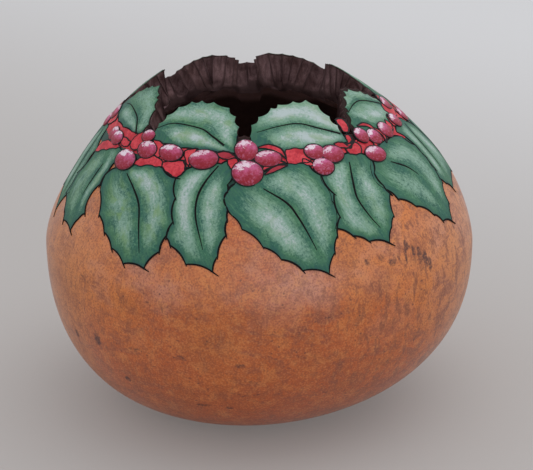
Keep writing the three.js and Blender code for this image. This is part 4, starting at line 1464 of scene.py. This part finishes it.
# %% Bits of ribbon
RIBBON_BITS = [
    [(-76.5, 17.5), (-75.5, 9.8), (-68, 6), (-60, 5.7), (-65.5, 9.5), (-71, 13)],
    [(-64.5, 1.1), (-56.5, 0.8), (-56.5, 4), (-60.5, 5)],
    [(-48.5, 11.5), (-47, 7.1), (-42.5, 3.6), (-38.5, 4.0), (-36, 5.4), (-35.5, 8.1), (-41, 8.8)],
    [(-36, 5.7), (-31.5, 4), (-27.5, 2.6), (-26, 7.8), (-28.5, 12.2), (-31.5, 10.9), (-35.5, 8.1)],
    [(-28.5, -2.5), (-25.5, -4.3), (-23, -4.7), (-25.5, 0.8), (-25, 5.4), (-27, 2.2)],
    [(-45, -4.7), (-38, -3.6), (-38, 1.8), (-38.5, 4), (-41, 3.3), (-42, -0.7)],
    [(-53, -6.5), (-46, -5.5), (-47, 0.5), (-52, 4.5), (-55.5, 3), (-56, -2)],
    [(-16, -2.9), (-12.5, -5.1), (-8.5, -2.9), (-12, -0.7)],
    [(-11, -1), (-7, -1.5), (-6.5, 3), (-9.5, 4.5)],
    [(12, -5.8), (19.5, -5.4), (22, -3), (20, 2), (17, 1.8), (11.5, 1.9), (11.5, -2.1)],
    [(17.5, -0.3), (19.5, 1.1), (21, 3.6), (19.5, 4), (17, 2.2)],
    [(41.5, -17.9), (45.5, -17.5), (46, -13.5), (43.4, -9.6), (41, -10.4), (41.3, -13.1)],
    [(40.5, -8.8), (42.6, -8.2), (42.3, -5.1), (40.2, -2.4), (37.8, -3.0), (39.5, -5)],
    [(33, -5.8), (37, -5.4), (38, -3.6), (42.5, -5.1), (39, -1.8), (36, -2.5), (33.5, -3.6)],
    [(36.5, -1.8), (39, -1.4), (42.5, -4.3), (44, -1), (42, 2.6), (37, 1.5)],
    [(70.5, -7.3), (71.5, -3.2), (67, -0.3), (64.5, -0.3), (67.5, -3.5)],
    [(74, -7), (77, -8), (80, -5), (76, -1), (72, -2)],
    [(79, -10), (86, -13), (93, -15.9), (94.5, -5.4), (88, -4), (82, -3)],
    [(91, -6.2), (95, -6.2), (93, 4.3), (90, 3)],
    [(-100, -7), (-93, -5), (-84, -5), (-80, -2), (-85, 4), (-93, 2), (-101, 3)],
]
RIBBON_CURLS = [
    ([(1, -7.3), (5.5, -7.7), (9.5, -5.4), (11.3, -1.2)], 2.6),
    ([(1.5, 5.2), (4.5, 1.8), (7, 0.8), (10.5, 1.2)], 3.0),
    ([(50.5, -11.2), (55, -10.4), (57.5, -7.3), (56.5, -3.6)], 2.0),
    ([(57, -1.4), (53.5, -1), (51.5, 1.1), (50.5, 5)], 2.3),
    ([(58, -7.5), (60, -2), (58, 2)], 2.0),
]
DEEP_CURLS = [
    ([(-15.4, -3.0), (-11.5, -2.6), (-7.6, -2.0)], 4.0),
    ([(2.5, 7.0), (7, 3.8), (11, 2.6)], 2.4),
]
DEEP_SHADE = 0.7
BACK_BANDS = [(96, 131), (137, 177), (183, 219), (225, 257)]
BAND_WIDTHS = (6.5, 8.5, 4.5, 7.5, 8.5, 6.0)
BAND_POINTS = 9
BAND_WAVE = 1.6
BAND_WAVES = 9
GROUND = (-100, 96)
GROUND_COATS = [(2, 11, 0.08, 1), (-4.4, 5.5, 0.13, 0)]
GROUND_POINTS = 180
GROUND_UNEVENNESS = 0.4
CREASES = [(-28.4, 15, 2.4, 8.5), (-9.2, 13.5, 3.2, 4.6), (23.4, 18.5, 3.2, 9.5)]
CREASE_INK = 0.3
CREASE_POINTS = 24


# %% Outlines of the bits
CORNER_SHARE = 0.2
CORNER_CUT = 0.06
EDGE_SWELL = 0.07
BIT_STEP = 0.7


def close_smooth(points):
    """A closed curve through given points, with rounded corners and slightly swelling sides."""
    points = np.asarray(points, float)
    middle = points.mean(axis=0)
    count = len(points)
    rows = []
    for i in range(count):
        a, b, c = points[i - 1], points[i], points[(i + 1) % count]
        rows.append(b + (a - b) * CORNER_SHARE)
        rows.append(b + ((a + c) / 2 - b) * CORNER_CUT)
        rows.append(b + (c - b) * CORNER_SHARE)
        across = np.array([c[1] - b[1], b[0] - c[0]]) * EDGE_SWELL
        outward = 1 if across @ ((b + c) / 2 - middle) > 0 else -1
        rows.append((b + c) / 2 + across * outward)
    return smooth_path(np.array(rows + rows[:1]), BIT_STEP)[:-1]


def band_outline(path, widths):
    """The closed outline around a middle line, with the widths spread evenly along it."""
    along = np.gradient(path, axis=0)
    along /= np.hypot(*along.T)[:, None]
    across = np.stack([-along[:, 1], along[:, 0]], axis=1)
    half = 0.5 * np.interp(np.linspace(0, 1, len(path)), np.linspace(0, 1, len(widths)), widths)
    left, right = path + across * half[:, None], path - across * half[:, None]
    return np.concatenate([left, right[::-1]])


def plain_ink(*ink):
    """The marks of a film that is the same all over: its ink, its shade and its green."""
    return lambda flat: {"ink": np.tile(ink, (len(flat), 1))}


# %% Paint the ribbon
CURL_STEP = 1.0
BAND_STEP = 1.2
BIT_LAYER = 0.012
BIT_LAYERS = 4
CURL_RISE = 0.08
BIT_LINES = (0.55, 0.8)
CURL_END = 0.4


def build_ribbon(material):
    part = Part("ink")
    random = np.random.default_rng(31)

    def add_bit(outline, centre, top, deep):
        outline = np.asarray(outline)
        ahead = np.roll(outline, -1, axis=0)
        area = np.sum(outline[:, 0] * ahead[:, 1] - outline[:, 1] * ahead[:, 0])
        outline = outline if area > 0 else outline[::-1]
        add_film(part, outline, centre, top, plain_ink(0, deep, 0))
        line = smooth_path(np.concatenate([outline, outline[:1]]), BIT_STEP)
        width = random.uniform(*BIT_LINES)
        add_ink(part, line, [width, width * 1.5, width * 0.8, width], centre, top)

    def placed(points, centre):
        return np.array([to_flat(a, RIBBON_DROP + below, centre) for a, below in points])

    centre = sum(GROUND) / 2
    turns = np.linspace(*GROUND, GROUND_POINTS)
    for above, below, top, green in GROUND_COATS:
        edges = []
        for level in (above, below):
            uneven = random.uniform(-GROUND_UNEVENNESS, GROUND_UNEVENNESS, GROUND_POINTS)
            edges.append(placed(zip(turns, level + uneven), centre))
        outline = np.concatenate([edges[0], edges[1][::-1]])
        add_film(part, outline, centre, top, plain_ink(0, 0, green))
    turns = np.linspace(0, 2 * math.pi, CREASE_POINTS, endpoint=False)
    for azimuth, below, wide, high in CREASES:
        middle = to_flat(azimuth, RIBBON_DROP + below, azimuth)
        oval = middle + np.stack([wide * np.cos(turns), high * np.sin(turns)], axis=1)
        add_film(part, oval, azimuth, layer_top(0), plain_ink(CREASE_INK, 0, 1))
    for i, points in enumerate(RIBBON_BITS):
        centre = points[0][0]
        top = RIBBON_TOP + BIT_LAYER * (i % BIT_LAYERS)
        add_bit(close_smooth(placed(points, centre)), centre, top, 0)
    for curls, deep in ((RIBBON_CURLS, 0), (DEEP_CURLS, DEEP_SHADE)):
        for points, width in curls:
            centre = points[0][0]
            path = smooth_path(placed(points, centre), CURL_STEP)
            outline = band_outline(path, [CURL_END, width, width, CURL_END])
            add_bit(outline, centre, RIBBON_TOP + CURL_RISE, deep)
    for start, end in BACK_BANDS:
        centre = (start + end) / 2
        turns = np.linspace(start, end, BAND_POINTS)
        points = [(a, BAND_WAVE * math.sin(math.radians(BAND_WAVES * a))) for a in turns]
        path = smooth_path(placed(points, centre), BAND_STEP)
        add_bit(band_outline(path, BAND_WIDTHS), centre, RIBBON_TOP, 0)
    return part.build("ribbon_paint", material)


wear(build_ribbon(ribbon_finish()), "ribbon_paint", "ribbon")
print("bits of ribbon:", len(RIBBON_BITS) + len(RIBBON_CURLS) + len(DEEP_CURLS) + len(BACK_BANDS))

# %% [markdown]
# ### Berries
#
# A berry is crimson below and pink above, with a white light at its top that was dabbed on while the
# pink was wet. Each is a low dome, a little raised over the ribbon, and drawn round by a line that
# swells twice on its way and doesn't quite close. The dome also catches a real highlight, which a
# flat disc would not. A berry is its azimuth, the millimetres below the ribbon's middle line, its
# width and its height. The back ones stand in clusters, each around an azimuth.

# %% The berries' finish
def berry_finish():
    finish = Finish("dabbed_berry_paint", Roughness=0.45, Specular_IOR_Level=0.25)
    across, down, seed = finish.split(finish.attribute("berry_place"))
    ink, white, pink = finish.split(finish.attribute("ink"))
    spot = finish.vector(across * 1.6, down * 1.6, seed * 7)
    dabs = finish.noise(spot, 1.6, 3, 0.65)
    fine = finish.noise(spot, 2.6, 4, 0.75)
    reach = (across * across + down * down) ** 0.5
    height = down + (dabs - 0.5) * 1.6 + (fine - 0.5) * 1.0
    top = (down + 0.66 + across * 0.3).size() * 1.9 + (across + 0.24).size() * 0.9
    light = (1 - top + (fine - 0.5) * 3.0 + (dabs - 0.5) * 1.8).ramp(0.14, 0.62) * white
    colour = finish.mix(height.ramp(0.55, -0.35), linear(146, 30, 46), linear(178, 62, 94))
    colour = finish.layers(colour, [
        (height.ramp(0.15, -0.7) * pink, (206, 104, 154)),
        (reach.ramp(0.66, 1.0) * 0.6, (120, 28, 44)),
        (fine.ramp(0.50, 0.64) * 0.45 * pink, (214, 132, 172)),
        (fine.ramp(0.49, 0.34) * 0.45, (122, 26, 44)),
        (light * 0.88, (236, 220, 232)),
        (ink, (16, 12, 14)),
    ])
    normal = finish.bump(dabs, 0.3, 0.0004)
    return finish.paint(Base_Color=colour, Normal=normal)


# %% Places and sizes of the berries
FRONT_BERRIES = [
    (-90, -3, 12, 8), (-92, 4, 12, 8), (-71.5, 2.5, 9, 8), (-66.5, 3.2, 11, 8),
    (-53.5, 10.7, 14.5, 11), (-45.5, 1.5, 12, 9.5), (-48.5, -5.5, 8, 7), (-34, 0, 13, 9),
    (-20, 0.6, 14.5, 10.3), (-3.5, -5.8, 10.7, 11.5), (-3.5, 6.4, 14.4, 13), (4.5, -1.4, 12.7, 8.5),
    (23.2, -3, 10, 8), (30, -0.5, 11.5, 9), (24.2, 5, 10.5, 9),
    (48.2, 5, 12.5, 8.5), (48.2, -6, 8, 8.5), (54.4, -3.1, 9, 8.5), (64, -3.3, 9.5, 9),
    (77.8, -3.2, 9.5, 8), (94, 1, 12, 8), (90, -10, 12, 7),
]
BACK_CLUSTERS = [
    (134, [(-15, -1, 10), (-2.7, 5, 11), (5, -4.5, 10), (20, 1, 10)]),
    (180, [(-12.5, -1, 9.5), (-1.3, 6, 11), (5, -4.5, 10.5)]),
    (222, [(-24, 0, 10), (-2.7, 5, 10.5), (8.6, -3, 10)]),
]
BACK_STRETCH = (1.08, 0.94)


def all_berries():
    rows = list(FRONT_BERRIES)
    for azimuth, berries in BACK_CLUSTERS:
        for right, below, size in berries:
            turn = math.degrees(right / float(radius_at(RIBBON_DROP + below)))
            rows.append((azimuth + turn, below, *(size * share for share in BACK_STRETCH)))
    return rows


# %% Paint the berries
BERRY_RINGS = (1.0, 0.97, 0.86, 0.7, 0.5, 0.28, 0.0)
BERRY_SIDES = 44
BERRY_RISE = 0.6
BERRY_EDGE = 0.22
BERRY_LAYER = 0.10
BERRY_LAYERS = 3
BERRY_TILT = 0.18
BERRY_WOBBLE = 0.03
BERRY_SEED = 1.31
BERRY_WHITE = (0.6, 1.1)
BERRY_PINK = (0.4, 1.0)
LINE_OUTSIDE = 1.03
LINE_SHARE = 0.85
BERRY_LINES = (0.75, 1.1)


def build_berry(index, berry, random, material):
    azimuth, below, width, height = berry
    centre = to_flat(azimuth, RIBBON_DROP + below, azimuth)
    tilt = random.uniform(-BERRY_TILT, BERRY_TILT)
    wobble = random.uniform(0.0, BERRY_WOBBLE, 2)
    top = BERRY_SEAT + BERRY_LAYER * (index % BERRY_LAYERS) + BERRY_EDGE
    count = BERRY_SIDES
    turns = np.arange(count) / count * 2 * math.pi
    round_x = np.cos(turns) * (1 + wobble[0] * np.cos(2 * turns + 1))
    round_y = np.sin(turns) * (1 + wobble[1] * np.cos(3 * turns))

    def ring(share):
        x, y = share * round_x, share * round_y
        flat = np.stack([
            centre[0] + (x * math.cos(tilt) * width - y * math.sin(tilt) * height) / 2,
            centre[1] + (x * math.sin(tilt) * width + y * math.cos(tilt) * height) / 2,
        ], axis=1)
        return flat, np.stack([x, y, np.full(count, index * BERRY_SEED)], axis=1)

    edge, place = ring(1.0)
    points = [skin(*to_place(edge, azimuth), FILM_BOTTOM)]
    places = [place]
    for share in BERRY_RINGS:
        flat, place = ring(share)
        rise = top + BERRY_RISE * math.sqrt(1 - share ** 2)
        points.append(skin(*to_place(flat, azimuth), rise))
        places.append(place)
    rings = len(points) - 1
    points[-1] = points[-1][:1]
    places[-1] = places[-1][:1]
    tip = rings * count
    faces = [tuple(range(count))[::-1]]
    faces += ring_quads(rings, count)
    faces += [(a, b, tip) for a, b in ring_edges(tip - count, count)]
    faces = [face[::-1] for face in faces]
    smooth = [False] * (1 + count) + [True] * (len(faces) - 1 - count)
    white = random.uniform(*BERRY_WHITE)
    pink = random.uniform(*BERRY_PINK)
    part = Part("berry_place", "ink")
    part.add(np.concatenate(points), faces, smooth, ring_edges(count, count),
             berry_place=np.concatenate(places), ink=(0, white, pink))
    first = random.integers(count)
    length = random.integers(round(count * LINE_SHARE), count)
    outside = centre + (edge - centre) * LINE_OUTSIDE
    line = outside[(first + np.arange(length + 1)) % count]
    width = random.uniform(*BERRY_LINES)
    add_ink(part, line, [LINE_END, width, width * 0.6, width, LINE_END], azimuth, top)
    return part.build(f"berry_{index}_paint", material)


berry_paint = berry_finish()
random = np.random.default_rng(17)
berries = all_berries()
for number, berry in enumerate(berries, 1):
    wear(build_berry(number, berry, random, berry_paint), "berry_paint", f"berry_{number}")
print("berries:", len(berries))

# %% [markdown]
# ## Floor and light
#
# The bowl stands on a plain pale sheet of soft grey. Its colour is painted a little lighter away from
# the viewer and to the right, as painted fall-off of the light. The light is wide and soft: a bright
# sky all round, one large lamp high on the right, and a long low one in front, like a window, which
# lays a soft sheen on the waxed skin below the leaves, where a pinkish sheen is also painted into the
# skin. Small lamps would give hard shadows. Their strength is plain, so that a colour renders about
# as it is written.
#
# A quarter of what the camera sees of the sheet glows at the level of the light, as a painted fill
# that keeps the shadow under the bowl soft. No other surface sees the glow, apart from mirrors and
# glass, so it lights nothing.

# %% The floor
FLOOR_SIZE = 12.0
GLOW_SHARE = 0.26
GLOW_LEVEL = 0.85


def floor_finish():
    finish = Finish(
        "pale_sheet", Roughness=0.9, Specular_IOR_Level=0.2, Emission_Strength=GLOW_LEVEL)
    right, away, _ = finish.split(finish.place())
    # Painted fall-off of the light: the sheet is painted lighter away from the viewer and to the
    # right.
    pale = (away + right * 0.7).ramp(0.1, 1.0)
    colour = finish.mix(pale, linear(191, 187, 185), linear(219, 219, 221))
    # Painted fill: for camera rays a share of the sheet glows, which lifts the shadow under the bowl.
    seen = finish.node("ShaderNodeLightPath", output="Is Camera Ray")
    for ray in ("Is Glossy Ray", "Is Transmission Ray"):
        seen = seen.most(finish.node("ShaderNodeLightPath", output=ray))
    glow = finish.mix(seen * GLOW_SHARE, linear(0, 0, 0), colour)
    colour = finish.mix(seen * GLOW_SHARE, colour, linear(0, 0, 0))
    return finish.paint(Base_Color=colour, Emission_Color=glow)


floor_mesh = bpy.data.meshes.new("pale_sheet")
half = FLOOR_SIZE / 2
floor_mesh.from_pydata([(-half, -half, 0), (half, -half, 0), (half, half, 0), (-half, half, 0)],
                       [], [(0, 1, 2, 3)])
floor_mesh.materials.append(floor_finish())
floor = bpy.data.objects.new("pale_sheet", floor_mesh)
bpy.context.scene.collection.objects.link(floor)
print("floor:", FLOOR_SIZE, "m across")

# %% The light
MIDDLE = (0, 0, 0.09)
LAMP_TINT = (1, 0.99, 0.98)
SKY_TINT = (0.97, 0.98, 1, 1)
SKY_LEVEL = 0.755


def add_lamp(name, place, width, height, power):
    """Adds a lamp that looks at the middle of the bowl. Its place and size are in metres."""
    lamp = bpy.data.lights.new(name, "AREA")
    lamp.shape = "RECTANGLE"
    lamp.size = width
    lamp.size_y = height
    lamp.energy = power
    lamp.color = LAMP_TINT
    piece = bpy.data.objects.new(name, lamp)
    piece.location = place
    way = np.array(MIDDLE) - np.array(place)
    across = math.atan2(-way[0], way[1])
    piece.rotation_euler = (math.acos(-way[2] / np.linalg.norm(way)), 0, across)
    bpy.context.scene.collection.objects.link(piece)


add_lamp("overhead_panel", (0.5, 0.2, 1.5), 1.8, 1.8, 6)
add_lamp("window", (0.5, -1.9, 0.5), 2.4, 0.8, 4.5)

world = bpy.data.worlds.new("soft_room")
world.use_nodes = True
sky = world.node_tree.nodes["Background"]
sky.inputs["Color"].default_value = SKY_TINT
sky.inputs["Strength"].default_value = SKY_LEVEL
bpy.context.scene.world = world
bpy.context.scene.view_settings.view_transform = "Standard"
print("lamps:", len(bpy.data.lights))
